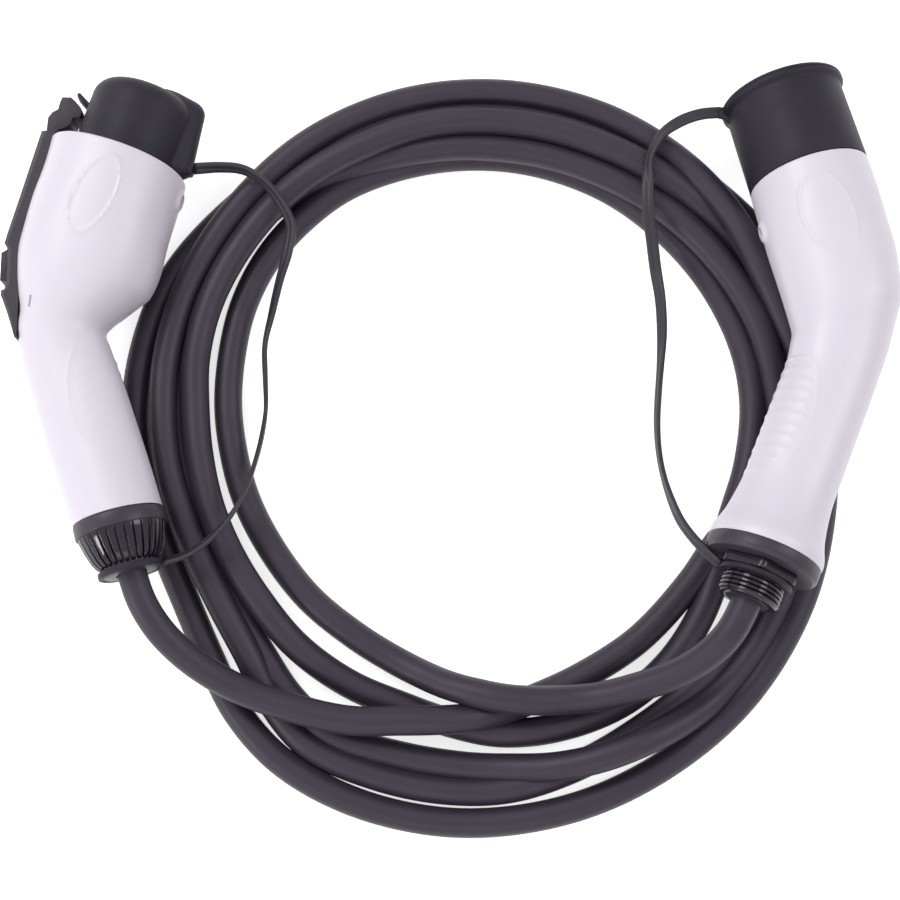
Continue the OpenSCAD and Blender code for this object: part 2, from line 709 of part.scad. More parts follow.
module type2_seal() {
    color("#333038") type2_cable_end() along_y(-collar_len - hex_len - thread_len)
        difference() {
            cylinder(r = seal_r, h = seal_len);
            translate([0, 0, -1]) cylinder(r = cable_r, h = 8);
        }
}
module type2_tether_ring() {
    top = -collar_len - hex_len;
    color("#3b3640") type2_cable_end() ring(thread_r + 2.6, thread_r, top - 2.5, top);
}

// Rubber cap over the shroud, with a wider lip at its closed end
t2_cap_r = shroud_r + cap_wall - 0.7;
lip_len = 4;
t2_cap_len = shroud_len + 0.8 + lip_len;
t2_strap_y = t2_cap_len - lip_len / 2;
module type2_cap() {
    lip = cap_lip_d / 2;
    color("#3b3640") type2_frame() union() {
        along_y(0.2) rotate_extrude() polygon([
            [shroud_r + 0.1, 0], [t2_cap_r, 0], [t2_cap_r, t2_cap_len - lip_len - 0.6],
            [lip, t2_cap_len - lip_len], [lip, t2_cap_len - 1.4],
            [lip - 1.4, t2_cap_len], [0, t2_cap_len], [0, shroud_len + 0.4],
            [shroud_r + 0.1, shroud_len + 0.4]
        ]);
        translate([-lip - 1.4, t2_strap_y - strap_t / 2, -strap_w / 2])
            cube([4, strap_t, strap_w]);
    }
}

// A point of a connector's own frame, and of its cable end, in the whole part's frame
function placed(p, place, heading, lean) =
    let (flat = turned([p[0], p[1] * cos(lean)], heading))
    [place[0] + flat[0], place[1] + flat[1], place[2] - p[1] * sin(lean)];
function t1_point(p) = placed(p, t1_place, t1_heading, t1_lean);
function t2_point(p) = placed(p, t2_place, t2_heading, t2_lean);
function t1_end_point(p) =
    t1_point(t1_bend + turned([p[0], p[1] - t1_grip_len], -t1_grip_angle));
function t2_end_point(p) =
    t2_point(t2_bend + turned([p[0], p[1] - t2_grip_len], t2_grip_angle));

// Cords. A tube of rings along points, each ring square to the way
function unit(v) = v / norm(v);
function heading(points, i) =
    unit(points[min(i + 1, len(points) - 1)] - points[max(i - 1, 0)]);
module tube(points, half_w, half_h, sides) {
    rings = [for (i = [0:len(points) - 1])
        let (
            ahead = heading(points, i),
            side = unit(cross(ahead, [0, 0, 1])),
            up = cross(side, ahead)
        )
        [for (k = [0:sides - 1])
            points[i] + side * half_w * cos(360 * k / sides)
                + up * half_h * sin(360 * k / sides)]];
    skin(rings, sides);
}
// Routes of the straps and of the cable's two ends, in the whole part's frame
strap1_route = [
    [-105, 82, 32], [-95, 81, 32], [-86, 76, 32], [-78, 67, 31.5], [-72, 55, 30.5],
    [-73, 42, 31], [-77, 28, 27.5], [-81, 14, 20.5], [-84, 0, 18.5], [-84, -14, 14.5],
    [-84, -28, 9], [-85, -42, 14], [-87, -56, 22], [-90, -69, 29], [-96, -82, 33],
    [-105, -93, 35], [-115, -100, 35]
];
strap2_route = [
    [120, 109, 30], [110, 105, 31], [101, 98, 32], [95, 87, 32], [94, 74, 32],
    [94, 62, 31], [96, 49, 26], [98, 36, 21], [100, 22, 20], [101, 8, 15.5],
    [101, -6, 7], [100, -20, 4], [99, -34, 5], [99, -48, 9], [100, -61, 16],
    [102, -74, 26], [105, -86, 37], [111, -97, 46]
];
lead1_route = [
    [-135, -120, 33.5], [-127, -133, 30], [-116, -144, 25.5], [-103, -153, 22],
    [-89, -160, 19], [-77, -165, 15]
];
lead2_route = [
    [123, -136, 51], [113, -146, 44], [101, -153, 36.5], [86, -158, 29], [69, -162, 22],
    [52, -164, 15]
];
// The cable runs straight through each gland, from inside the shell to the lip
lead1_points = concat([for (h = [10, -4, -20]) t1_end_point([0, h])], lead1_route);
lead2_points = concat([for (h = [10, -4, -20]) t2_end_point([0, h])], lead2_route);
// Each strap runs from the block on its cap to the ring at its gland
strap1_points = concat(
    [t1_point([t1_strap_root[0] + 0.3, t1_strap_root[1]])],
    strap1_route,
    [t1_end_point([lip_r + 1.7, -nut_len + 1.5])]
);
strap2_points = concat(
    [t2_point([-cap_lip_d / 2 - 1.1, t2_strap_y])],
    strap2_route,
    [t2_end_point([-thread_r - 2.3, -collar_len - hex_len - 1.25])]
);

module type1_strap() { color("#3b3640") tube(strap1_points, strap_t / 2, strap_w / 2, 8); }
module type2_strap() { color("#3b3640") tube(strap2_points, strap_t / 2, strap_w / 2, 8); }
module cable_lead_type1() { color("#3b3640") tube(lead1_points, cable_r, cable_r, 12); }
module cable_lead_type2() { color("#3b3640") tube(lead2_points, cable_r, cable_r, 12); }

// The cable's four cores, from its end in each grip to the contacts. Each keeps its own
// spot in the bundle, [across, up, radius], as far as the front part
core_r = 2.2;
pilot_r = 1;
core_sides = 8;
live_spot = [-2.6, 2.4, core_r];
neutral_spot = [-2.6, -2.4, core_r];
earth_spot = [2.2, 0, core_r];
pilot_spot = [2.7, 3.9, pilot_r];
cable_stop = 10.3;
function in_grip(bend, grip_len, angle, x, h, z) =
    let (p = bend + turned([x, h - grip_len], angle)) [p[0], p[1], z];
// Down the grip's middle, which lies a little to the spine side near the bend
function t1_core_way(spot, end) = concat(
    [for (h = [cable_stop, 20, 0.41 * t1_grip_len, 0.62 * t1_grip_len, 0.82 * t1_grip_len])
        in_grip(t1_bend, t1_grip_len, -t1_grip_angle, spot[0] - 0.055 * (h - cable_stop), h,
            spot[1])],
    [for (step = [[-2.8, 10.9], [-2.8, 28]])
        [t1_bend[0] + step[0] + spot[0], t1_bend[1] + step[1], spot[1]]],
    [[t1_barrel_x + end[0], t1_contact_y - 12, end[1]],
        [t1_barrel_x + end[0], t1_contact_y, end[1]]]
);
function t2_core_way(spot, end) = concat(
    [for (h = [cable_stop, 25, 0.42 * t2_grip_len, 0.6 * t2_grip_len, 0.8 * t2_grip_len])
        in_grip(t2_bend, t2_grip_len, t2_grip_angle, spot[0], h, spot[1])],
    [for (step = [[-5.2, -6.7], [3.1, 8], [6.5, 23]])
        [t2_bend[0] + step[0] + spot[0], t2_bend[1] + step[1], spot[1]]],
    [[end[0], block_y - 10, end[1]], [end[0], block_y - 3, end[1]], [end[0], pin_back, end[1]]]
);
module type1_core(spot, end) {
    type1_frame() tube(t1_core_way(spot, end), spot[2], spot[2], core_sides);
}
module type2_core(spot, end) {
    type2_frame() tube(t2_core_way(spot, end), spot[2], spot[2], core_sides);
}
module type1_live_core() { color("saddlebrown") type1_core(live_spot, t1_power[0]); }
module type1_neutral_core() { color("royalblue") type1_core(neutral_spot, t1_power[1]); }
module type1_earth_core() { color("yellowgreen") type1_core(earth_spot, t1_earth[0]); }
module type1_pilot_core() { color("gray") type1_core(pilot_spot, t1_signal[0]); }
module type2_live_core() { color("saddlebrown") type2_core(live_spot, t2_power[0]); }
module type2_neutral_core() { color("royalblue") type2_core(neutral_spot, t2_power[1]); }
module type2_earth_core() { color("yellowgreen") type2_core(earth_spot, t2_earth[0]); }
module type2_pilot_core() { color("gray") type2_core(pilot_spot, t2_signal[0]); }

// The turns lie two deep at the back, between these bearings
stack_from = 55;
stack_to = 140;
module cable_coil() {
    color("#3b3640") translate([coil_x, coil_y, 0]) {
        rotate_extrude($fn = 96) translate([coil_hole_r, 0])
            square([coil_r - coil_hole_r, cable_d]);
        rotate(stack_from) rotate_extrude(angle = stack_to - stack_from, $fn = 96)
            translate([coil_hole_r + 18, cable_d]) square([coil_r - coil_hole_r - 20, cable_d]);
    }
}

type1_shell();
type1_insert();
type1_power_contacts();
type1_earth_contact();
type1_signal_contacts();
latch_cover();
latch_lever();
latch_pin();
latch_spring();
type1_screw();
type1_gland_body();
type1_seal();
dome_nut();
type1_tether_ring();
type1_cap();
type1_strap();
type2_shell();
type2_insert();
type2_power_pins();
type2_earth_pin();
type2_signal_pins();
type2_screw();
type2_collar();
type2_gland_body();
type2_seal();
type2_tether_ring();
type2_cap();
type2_strap();
cable_coil();
cable_lead_type1();
cable_lead_type2();
type1_live_core();
type1_neutral_core();
type1_earth_core();
type1_pilot_core();
type2_live_core();
type2_neutral_core();
type2_earth_core();
type2_pilot_core();
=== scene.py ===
# Charging cable for electric cars: a Type 1 and a Type 2 connector on a coiled cable.
from math import copysign, cos, hypot, pi, radians, sin, sqrt
import bmesh
import bpy
from mathutils import Matrix, Vector


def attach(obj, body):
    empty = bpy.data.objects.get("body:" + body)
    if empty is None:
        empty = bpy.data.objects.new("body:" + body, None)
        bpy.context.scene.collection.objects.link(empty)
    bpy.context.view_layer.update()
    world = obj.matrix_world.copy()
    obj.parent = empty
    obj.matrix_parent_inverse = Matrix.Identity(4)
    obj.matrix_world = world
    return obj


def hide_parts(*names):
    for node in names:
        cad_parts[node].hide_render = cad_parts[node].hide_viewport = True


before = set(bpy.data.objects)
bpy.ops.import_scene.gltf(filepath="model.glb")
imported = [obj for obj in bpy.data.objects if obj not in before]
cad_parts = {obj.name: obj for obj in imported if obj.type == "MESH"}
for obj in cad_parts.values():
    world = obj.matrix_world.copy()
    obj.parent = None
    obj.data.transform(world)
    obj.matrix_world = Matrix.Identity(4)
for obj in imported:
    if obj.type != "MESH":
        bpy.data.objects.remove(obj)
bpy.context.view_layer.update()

# Camera, high above the table and tipped a little towards the capped mouths
TARGET = Vector((0.002, -0.046, 0))
ELEVATION = radians(79)
DISTANCE = 0.8225
camera_data = bpy.data.cameras.new("camera")
camera_data.lens = 70
camera_data.sensor_width = 36
camera = bpy.data.objects.new("camera", camera_data)
bpy.context.scene.collection.objects.link(camera)
camera.location = TARGET + DISTANCE * Vector((0, -cos(ELEVATION), sin(ELEVATION)))
camera.rotation_euler = (TARGET - camera.location).to_track_quat("-Z", "Y").to_euler()
bpy.context.scene.camera = camera
bpy.context.scene.view_settings.view_transform = "Standard"

# Cable: one round cable for the whole object, a lead out of each grip and a coil as it
# was thrown down. Its sheath is extruded dark purple-grey rubber with a satin shine


class Socket:
    """A shader value that takes Python's operators and turns them into Math nodes."""

    def __init__(self, tree, socket):
        self.tree = tree
        self.socket = socket

    def math(self, operation, other):
        return add_node(self.tree, "ShaderNodeMath", {"operation": operation},
                        {0: self, 1: other})

    def __add__(self, other):
        return self.math("ADD", other)

    def __mul__(self, other):
        return self.math("MULTIPLY", other)

    __radd__, __rmul__ = __add__, __mul__


def add_node(tree, kind, settings=(), sockets=(), output=0):
    """Any node: its settings come first, then its sockets' values or links."""
    node = tree.nodes.new(kind)
    for key, value in dict(settings).items():
        setattr(node, key, value)
    for key, value in dict(sockets).items():
        if isinstance(value, Socket):
            tree.links.new(value.socket, node.inputs[key])
        else:
            node.inputs[key].default_value = value
    return Socket(tree, node.outputs[output])


def plain_finish(name, **settings):
    """A material on one Principled shader, as (material, its node tree, the shader)."""
    material = bpy.data.materials.new(name)
    material.use_nodes = True
    shader = material.node_tree.nodes["Principled BSDF"]
    for key, value in settings.items():
        shader.inputs[key.replace("_", " ")].default_value = value
    return material, material.node_tree, shader


# A Mix node's colour sockets go by number, because their names repeat
MIX_FACTOR, MIX_A, MIX_B, MIX_COLOUR = 0, 6, 7, 2


def finish(name, dark, light, patches, gloss, grain=None, **settings):
    """A material whose colour drifts from dark to light. Patches are (scale, detail,
    roughness) of a noise, gloss is (lowest, range, and a noise), and grain is
    (scale, depth in metres)."""
    material, tree, shader = plain_finish(name, **settings)
    place = add_node(tree, "ShaderNodeTexCoord", output="Object")

    def noise(scale, detail, roughness):
        return add_node(tree, "ShaderNodeTexNoise", {}, {
            "Vector": place, "Scale": scale, "Detail": detail, "Roughness": roughness})

    lowest, span, *uneven = gloss
    varying = {
        "Base Color": add_node(tree, "ShaderNodeMix", {"data_type": "RGBA"}, {
            MIX_FACTOR: noise(*patches), MIX_A: (*dark, 1), MIX_B: (*light, 1)}, MIX_COLOUR),
        "Roughness": lowest + span * noise(*uneven)
    }
    if grain:
        varying["Normal"] = add_node(tree, "ShaderNodeBump", {}, {
            "Height": noise(grain[0], 2, 0.5), "Distance": grain[1], "Strength": 1})
    for key, value in varying.items():
        tree.links.new(value.socket, shader.inputs[key])
    return material


sheath = finish("cable_sheath", (0.029, 0.0205, 0.034), (0.046, 0.0345, 0.053), (35, 4, 0.6),
                (0.38, 0.16, 90, 4, 0.6), (900, 0.00006), Specular_IOR_Level=0.36)
CABLE_R, CABLE_SIDES, CABLE_STEP, STRAP_STEP = 0.0066, 20, 0.004, 0.0025
COIL_MIDDLE = Vector((0.014, -0.052, 0))
# The cable's two ends, from inside each gland, in millimetres. These points, the turns'
# and the straps' are the solid model's own
LEAD_1 = [
    (-143.7, -93.2, 34.5), (-140.9, -102.4, 34.7), (-135, -120, 33.5), (-127, -133, 30),
    (-116, -144, 25.5), (-103, -153, 22), (-89, -160, 20)
]
LEAD_2 = [
    (69, -162, 22), (86, -158, 29), (101, -153, 36.5), (113, -146, 44), (123, -136, 51),
    (131.3, -120.2, 52.4), (135.1, -111, 51.5)
]
# The coil as it was thrown down, turn by turn: bearing in degrees, distance from the
# coil's middle, and height where the cable doesn't lie on the table, in millimetres
LYING_HEIGHT = 6.6
TURNS = [
    [(236, 140, 20), (245, 133, 20), (254, 125.5, 20), (262, 121.5, 19.5), (269, 119, 16.5),
     (276, 116, 11), (284, 113, 7.2), (296, 111), (312, 111.5), (330, 114), (340, 117.5, 9),
     (346, 123, 16), (352, 134, 19.8), (359, 147, 19.8), (366, 160, 17.5), (373, 169, 11),
     (382, 174, 6.8), (396, 174.5), (414, 173.5), (434, 173), (454, 172), (474, 170),
     (492, 168), (508, 168.5), (520, 165.5), (533, 160.5), (545, 154), (556, 149.5),
     (567, 148.5), (577, 152), (587, 159)],
    [(598, 164), (612, 165.5), (628, 165.5), (645, 164.5), (661, 163.5), (678, 163.5),
     (696, 163), (712, 162), (725, 162, 6.8), (735, 160, 10), (744, 158, 16.5),
     (753, 159.5, 21), (764, 166, 21.5), (776, 171.5, 20), (790, 175, 19.8), (806, 176, 19.8),
     (822, 174.5, 19.8), (838, 170, 19.8), (854, 163.5, 17.5), (868, 158, 15.5),
     (880, 152.5, 15), (891, 147, 15), (902, 142, 15), (912, 137.5, 15), (921, 135, 15),
     (931, 134.5, 14.5), (941, 137.5, 12), (950, 145, 7.4)],
    [(960, 151.5), (972, 151.5), (984, 151.5), (995, 151), (1006, 148), (1018, 145),
     (1034, 144), (1052, 142.5), (1070, 141.2), (1084, 142, 6.8), (1095, 144.5, 10),
     (1106, 147, 15), (1120, 148, 16.8), (1136, 149, 16.8), (1154, 149.5, 16.8),
     (1170, 150, 16.8), (1182, 151, 15.5), (1193, 153.5, 11), (1203, 156.5, 7), (1216, 156),
     (1230, 152), (1243, 145.5), (1256, 139), (1268, 133), (1280, 129.5), (1292, 129.5),
     (1303, 133), (1313, 138.5)],
    [(1323, 142), (1336, 140), (1348, 140.5), (1356, 142, 8.5), (1364, 145, 14),
     (1372, 147.5, 19), (1380, 149.5, 19.5), (1388, 152, 14), (1396, 154, 8), (1408, 154.5),
     (1424, 154.5), (1440, 154.8), (1455, 157), (1468, 160.5, 6.8), (1478, 161.5, 10),
     (1487, 161, 15), (1495, 160.3, 20.5), (1505, 160, 23.3), (1520, 160.5, 23.6),
     (1536, 160.3, 23.6), (1550, 157.5, 22.8), (1563, 155, 20.5), (1576, 150, 18.5),
     (1589, 144.5, 17), (1600, 138.5, 15.5), (1610, 132, 14.8), (1620, 127.5, 14.8),
     (1631, 124, 14.8), (1642, 121, 14.8), (1654, 119, 13.5), (1667, 119, 9.5)],
    [(1681, 118.5), (1694, 118.5), (1704, 121.5), (1715, 126), (1727, 128.5), (1740, 130),
     (1752, 129), (1764, 126), (1776, 122.5), (1787, 121.5), (1799, 126.5), (1812, 133),
     (1824, 137.5), (1838, 141), (1852, 144), (1866, 147), (1882, 148.5), (1898, 148.3),
     (1914, 147), (1926, 143), (1936, 138.5), (1946, 132.5), (1956, 125.5), (1967, 119),
     (1978, 113), (1990, 108), (2004, 103), (2020, 100), (2035, 98.5)],
    [(2046, 99.5, 6.8), (2055, 102, 10), (2063, 105.5, 17), (2070, 108.5, 22),
     (2077, 112, 23.5), (2084, 115.3, 22), (2090, 118.5, 20)]
]
SMOOTH_STEPS = 24
# Which two times each point of each layer of a smooth stretch lies between
LAYERS = ((0, 1), (1, 2), (2, 3)), ((0, 2), (1, 3)), ((1, 2),)


def metres(points):
    return [Vector(point) * 0.001 for point in points]


def length_of(points):
    return sum((b - a).length for a, b in zip(points, points[1:]))


def flow(points, step):
    """A smooth way through the points, as points evenly a step apart."""
    ends = [points[0] * 2 - points[1], *points, points[-1] * 2 - points[-2]]
    dense = []
    for stretch in zip(ends, ends[1:], ends[2:], ends[3:]):
        times = [0]
        for first, second in zip(stretch, stretch[1:]):
            times.append(times[-1] + sqrt((second - first).length))
        for i in range(SMOOTH_STEPS):
            t = times[1] + (times[2] - times[1]) * i / SMOOTH_STEPS
            layer = stretch
            for pairs in LAYERS:
                layer = [a + (b - a) * ((t - times[low]) / (times[high] - times[low]))
                         for a, b, (low, high) in zip(layer, layer[1:], pairs)]
            dense.append(layer[0])
    dense.append(points[-1])
    return even(dense, step)


def even(points, step):
    total = length_of(points)
    count = max(2, round(total / step))
    out = [points[0].copy()]
    walked, target = 0, total / count
    for a, b in zip(points, points[1:]):
        length = (b - a).length
        while length and walked + length >= target - 1e-9 and len(out) < count:
            out.append(a.lerp(b, (target - walked) / length))
            target += total / count
        walked += length
    out.append(points[-1].copy())
    return out


def new_piece(name, mesh, material, smooth=True):
    """Puts a finished mesh in the scene as an object."""
    mesh.materials.append(material)
    mesh.polygons.foreach_set("use_smooth", [smooth] * len(mesh.polygons))
    mesh.update()
    piece = bpy.data.objects.new(name, mesh)
    bpy.context.scene.collection.objects.link(piece)
    return piece


def add_piece(name, vertices, faces, material):
    mesh = bpy.data.meshes.new(name)
    mesh.from_pydata([tuple(v) for v in vertices], [], faces)
    return new_piece(name, mesh, material)


def rings_to_mesh(rings, closed_ends=True):
    """Vertices and faces of a tube through rings of equal length."""
    sides = len(rings[0])
    vertices = [point for ring in rings for point in ring]
    faces = []
    for r in range(len(rings) - 1):
        for i in range(sides):
            a, b = r * sides + i, r * sides + (i + 1) % sides
            faces.append((a, b, b + sides, a + sides))
    if closed_ends:
        faces.append(tuple(range(sides - 1, -1, -1)))
        faces.append(tuple(range((len(rings) - 1) * sides, len(rings) * sides)))
    return vertices, faces


def sweep(way, outline, twists):
    """Rings of an outline, (across, up) pairs, kept upright along a way, then twisted."""
    rings = []
    for i, (point, turn) in enumerate(zip(way, twists)):
        ahead = (way[min(i + 1, len(way) - 1)] - way[max(i - 1, 0)]).normalized()
        side = ahead.cross(Vector((0, 0, 1))).normalized()
        up = side.cross(ahead)
        across = side * cos(turn) + up * sin(turn)
        over = up * cos(turn) - side * sin(turn)
        rings.append([point + across * x + over * y for x, y in outline])
    return rings


def round_angles(count):
    return [2 * pi * i / count for i in range(count)]


coil_points = []
for turn in TURNS:
    for bearing, radius, *height in turn:
        angle = radians(bearing)
        height = height[0] if height else LYING_HEIGHT
        spot = Vector((radius * cos(angle), radius * sin(angle), height)) * 0.001
        coil_points.append(COIL_MIDDLE + spot)
cable_way = flow(metres(LEAD_1) + coil_points + metres(LEAD_2), CABLE_STEP)
for point in cable_way:
    point.z = max(point.z, CABLE_R)
cable_circle = [(CABLE_R * cos(angle), -CABLE_R * sin(angle))
                for angle in round_angles(CABLE_SIDES)]
cable_rings = sweep(cable_way, cable_circle, [0] * len(cable_way))
cable = add_piece("cable", *rings_to_mesh(cable_rings), sheath)
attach(cable, "cable_set")
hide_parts("cable_coil", "cable_lead_type1", "cable_lead_type2")

# Straps: two moulded rubber bands, each with a shallow groove along its faces. Each is
# one piece with its cap's end block and its ring, and hangs loosely over the coil
band_rubber = finish("strap_rubber", (0.023, 0.0185, 0.027), (0.036, 0.030, 0.040),
                     (60, 3, 0.5), (0.38, 0.16, 200, 3, 0.6), (1400, 0.00004),
                     Specular_IOR_Level=0.42)


def turned(x, y, degrees):
    """A point turned clockwise by an angle."""
    angle = radians(degrees)
    return (x * cos(angle) + y * sin(angle),
            y * cos(angle) - x * sin(angle))


def lying(place, heading, lean):
    """The frame of a connector: millimetres along its own axes to metres in the scene."""
    return (Matrix.Translation(Vector(place) * 0.001)
            @ Matrix.Rotation(radians(-heading), 4, "Z")
            @ Matrix.Rotation(radians(-lean), 4, "X") @ Matrix.Scale(0.001, 4))


def cable_end(connector, bend, grip_len, angle):
    """The frame at a grip's cable end, +Y up the grip."""
    x, y = turned(0, -grip_len, angle)
    return (connector @ Matrix.Translation((bend[0] + x, bend[1] + y, 0))
            @ Matrix.Rotation(radians(-angle), 4, "Z"))


# A grip is the middle of its bend in the connector's frame, its length and its angle
T1_FRONT_LEN, T1_GRIP_LEN = 60, 92
T2_FRONT_LEN, T2_GRIP_LEN = 58, 106
T1_BEND = (5.3, -T1_FRONT_LEN - 20.9)
T2_BEND = (-9, -T2_FRONT_LEN - 23)
GRIP_1 = T1_BEND, T1_GRIP_LEN, -32.8
GRIP_2 = T2_BEND, T2_GRIP_LEN, 36.4
TYPE_1 = lying((-152.2, 84.3, 31.6), 17.2, 1)
TYPE_2 = lying((168.7, 76.1, 33.6), -14, 5.9)
END_1 = cable_end(TYPE_1, *GRIP_1)
END_2 = cable_end(TYPE_2, *GRIP_2)

STRAP_W, STRAP_T = 5.6, 2
NUT_LEN, LIP_R, THREAD_R = 26.5, 12.8, 13.7
COLLAR_LEN, HEX_LEN = 6.5, 4.3
CAP_LIP_R = 29.1
# Each tether ring's wall and height, and how far the band's end runs into it
RING_1_WALL, RING_1_H, RING_2_WALL, RING_2_H, BAND_BITE = 2, 3, 2.6, 2.5, 0.3
ROOT_1 = Vector((33.9, 7.5, 0))
ROOT_2 = Vector((-CAP_LIP_R - 0.8, 42.8, 0))
STRAP_1 = [
    (-105, 82, 32), (-95, 81, 32), (-86, 76, 32), (-78, 67, 31.5), (-72, 55, 30.5),
    (-73, 42, 31), (-77, 28, 27.5), (-81, 14, 20.5), (-84, 0, 18.5), (-84, -14, 14.5),
    (-84, -28, 9), (-85, -42, 14), (-87, -56, 22), (-90, -69, 29), (-96, -82, 33),
    (-105, -93, 35), (-115, -100, 35)
]
STRAP_2 = [
    (120, 109, 30), (110, 105, 31), (101, 98, 32), (95, 87, 32), (94, 74, 32), (94, 62, 31),
    (96, 49, 26), (98, 36, 21), (100, 22, 20), (101, 8, 15.5), (101, -6, 7), (100, -20, 4),
    (99, -34, 5), (99, -48, 9), (100, -61, 16), (102, -74, 26), (105, -86, 37), (111, -97, 46)
]
# How far each band is turned about its own way: (share of its length, degrees)
TWIST_1 = [(0, 45), (0.05, 32), (0.13, 24), (0.2, 42), (0.28, 58), (0.36, 38), (0.5, 14),
           (0.66, 4), (0.8, 10), (0.92, 30), (1, 30)]
TWIST_2 = [(0, 88), (0.07, 86), (0.13, 50), (0.17, 30), (0.23, 82), (0.33, 78), (0.45, 45),
           (0.58, 14), (0.75, 4), (0.9, 22), (1, 30)]


def step_up(x, low, high):
    """A soft step from 0 at low to 1 at high."""
    f = min(max((x - low) / (high - low), 0), 1)
    return f * f * (3 - 2 * f)


def eased(stops, share):
    """A smooth value between (share, value) stops."""
    for (low, first), (high, second) in zip(stops, stops[1:]):
        if share <= high:
            return first + (second - first) * step_up(share, low, high)
    return stops[-1][1]


def band_outline(width, thickness):
    """Rounded edges and a shallow groove down both faces, thin across and tall up."""
    t, w = thickness / 2, width / 2
    quarter = [(t, 0.2 * w), (t, 0.42 * w), (t, 0.78 * w), (0.74 * t, 0.93 * w), (0.3 * t, w)]
    side = [(x, -y) for x, y in reversed(quarter)] + [(0.62 * t, 0)] + quarter
    return [(x * 0.001, y * 0.001) for x, y in
            [(x, -y) for x, y in side] + [(-x, y) for x, y in side]]


def strap(name, node, start, route, end, twist):
    way = flow([start, *metres(route), end], STRAP_STEP)
    turns = [radians(eased(twist, i / (len(way) - 1))) for i in range(len(way))]
    piece = add_piece(name, *rings_to_mesh(sweep(way, band_outline(STRAP_W, STRAP_T), turns)),
                      band_rubber)
    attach(piece, "cable_set")
    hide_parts(node)
    round(length_of(way), 3)


HEX_FOOT = -COLLAR_LEN - HEX_LEN
strap("strap_1", "type1_strap", TYPE_1 @ ROOT_1, STRAP_1,
      END_1 @ Vector((LIP_R + RING_1_WALL - BAND_BITE, RING_1_H / 2 - NUT_LEN, 0)), TWIST_1)
strap("strap_2", "type2_strap", TYPE_2 @ ROOT_2, STRAP_2,
      END_2 @ Vector((BAND_BITE - THREAD_R - RING_2_WALL, HEX_FOOT - RING_2_H / 2, 0)),
      TWIST_2)

# Shells: each a hollow moulding in pale lilac-white plastic, drawn as sections from the
# mouth through the bend to the cable end. The grip carries low ribs and the face a plain
# raised oval, and a round boss on the belly side takes the screw that holds the insert
SHELL_SIDES, SHELL_STEPS, CAVITY_STEPS = 216, 17, 3
WALL, END_WALL, RIM_ROUND = 2.8, 5, 0.9
NECK_R, COLLAR_R = THREAD_R - 1.2, 25.5
T1_HALF, T1_T, T1_GRIP_HALF = 32.3, 31, 20.3
T2_HALF, T2_GRIP_HALF = 27.9, 20.4
SEAT_DEPTH, SEAT_SHOULDER = 14, 1.8
SEAT_R_1, SEAT_R_2 = T1_T - WALL, 26.15

shell_plastic = finish("shell_plastic", (0.795, 0.742, 0.828), (0.835, 0.780, 0.862),
                       (14, 3, 0.5), (0.31, 0.12, 120, 4, 0.6), (2600, 0.000018),
                       Specular_IOR_Level=0.45)


def through(a, b, c, d, f):
    """A smooth curve through four rows of numbers, between the middle two."""
    return tuple(0.5 * (2 * q + (r - p) * f + (2 * p - 5 * q + 4 * r - s) * f * f
                        + (3 * q - p - 3 * r + s) * f * f * f)
                 for p, q, r, s in zip(a, b, c, d))


def smooth_rows(rows, steps):
    ends = [rows[0], *rows, rows[-1]]
    out = [through(*ends[i:i + 4], k / steps) for i in range(len(rows) - 1)
           for k in range(steps)]
    return [*out, rows[-1]]


def bulge(x, power):
    return copysign(abs(x) ** (2 / power), x)


def section(row, inset=0):
    """A rounded section from (left x, left y, right x, right y, half thickness, power)."""
    left, right = Vector(row[0:2]), Vector(row[2:4])
    middle, half = (left + right) / 2, (right - left) / 2
    across = half * ((half.length - inset) / half.length)
    up = row[4] - inset
    ring = []
    for angle in round_angles(SHELL_SIDES):
        u, v = bulge(cos(angle), row[5]), bulge(sin(angle), row[5])
        ring.append(Vector((middle.x + across.x * u, middle.y + across.y * u, up * v)))
    return ring


def round_row(y, radius):
    return (-radius, y, radius, y, radius, 2)


def grip_row(grip, h, left, right, t, power=2):
    bend, grip_len, angle = grip
    lx, ly = turned(left, h - grip_len, angle)
    rx, ry = turned(right, h - grip_len, angle)
    return (bend[0] + lx, bend[1] + ly, bend[0] + rx, bend[1] + ry, t, power)


def housing_rows(front_len, half, t, front, grip, bend, grip_half, cable_side):
    """Rows from mouth to cable end: the front by shares of its length, the bend from its
    middle, and the grip by heights over its cable end. Front and grip say how far each
    side stands off a plain tube's."""
    x, y = grip[0]
    return [
        *[(left - half, -share * front_len, right + half, -share * front_len, t + more, power)
          for share, left, right, more, power in front],
        *[(x + row[0], y + row[1], x + row[2], y + row[3], *row[4:]) for row in bend],
        *[grip_row(grip, h, left - grip_half, right + grip_half, *rest)
          for h, left, right, *rest in cable_side]
    ]


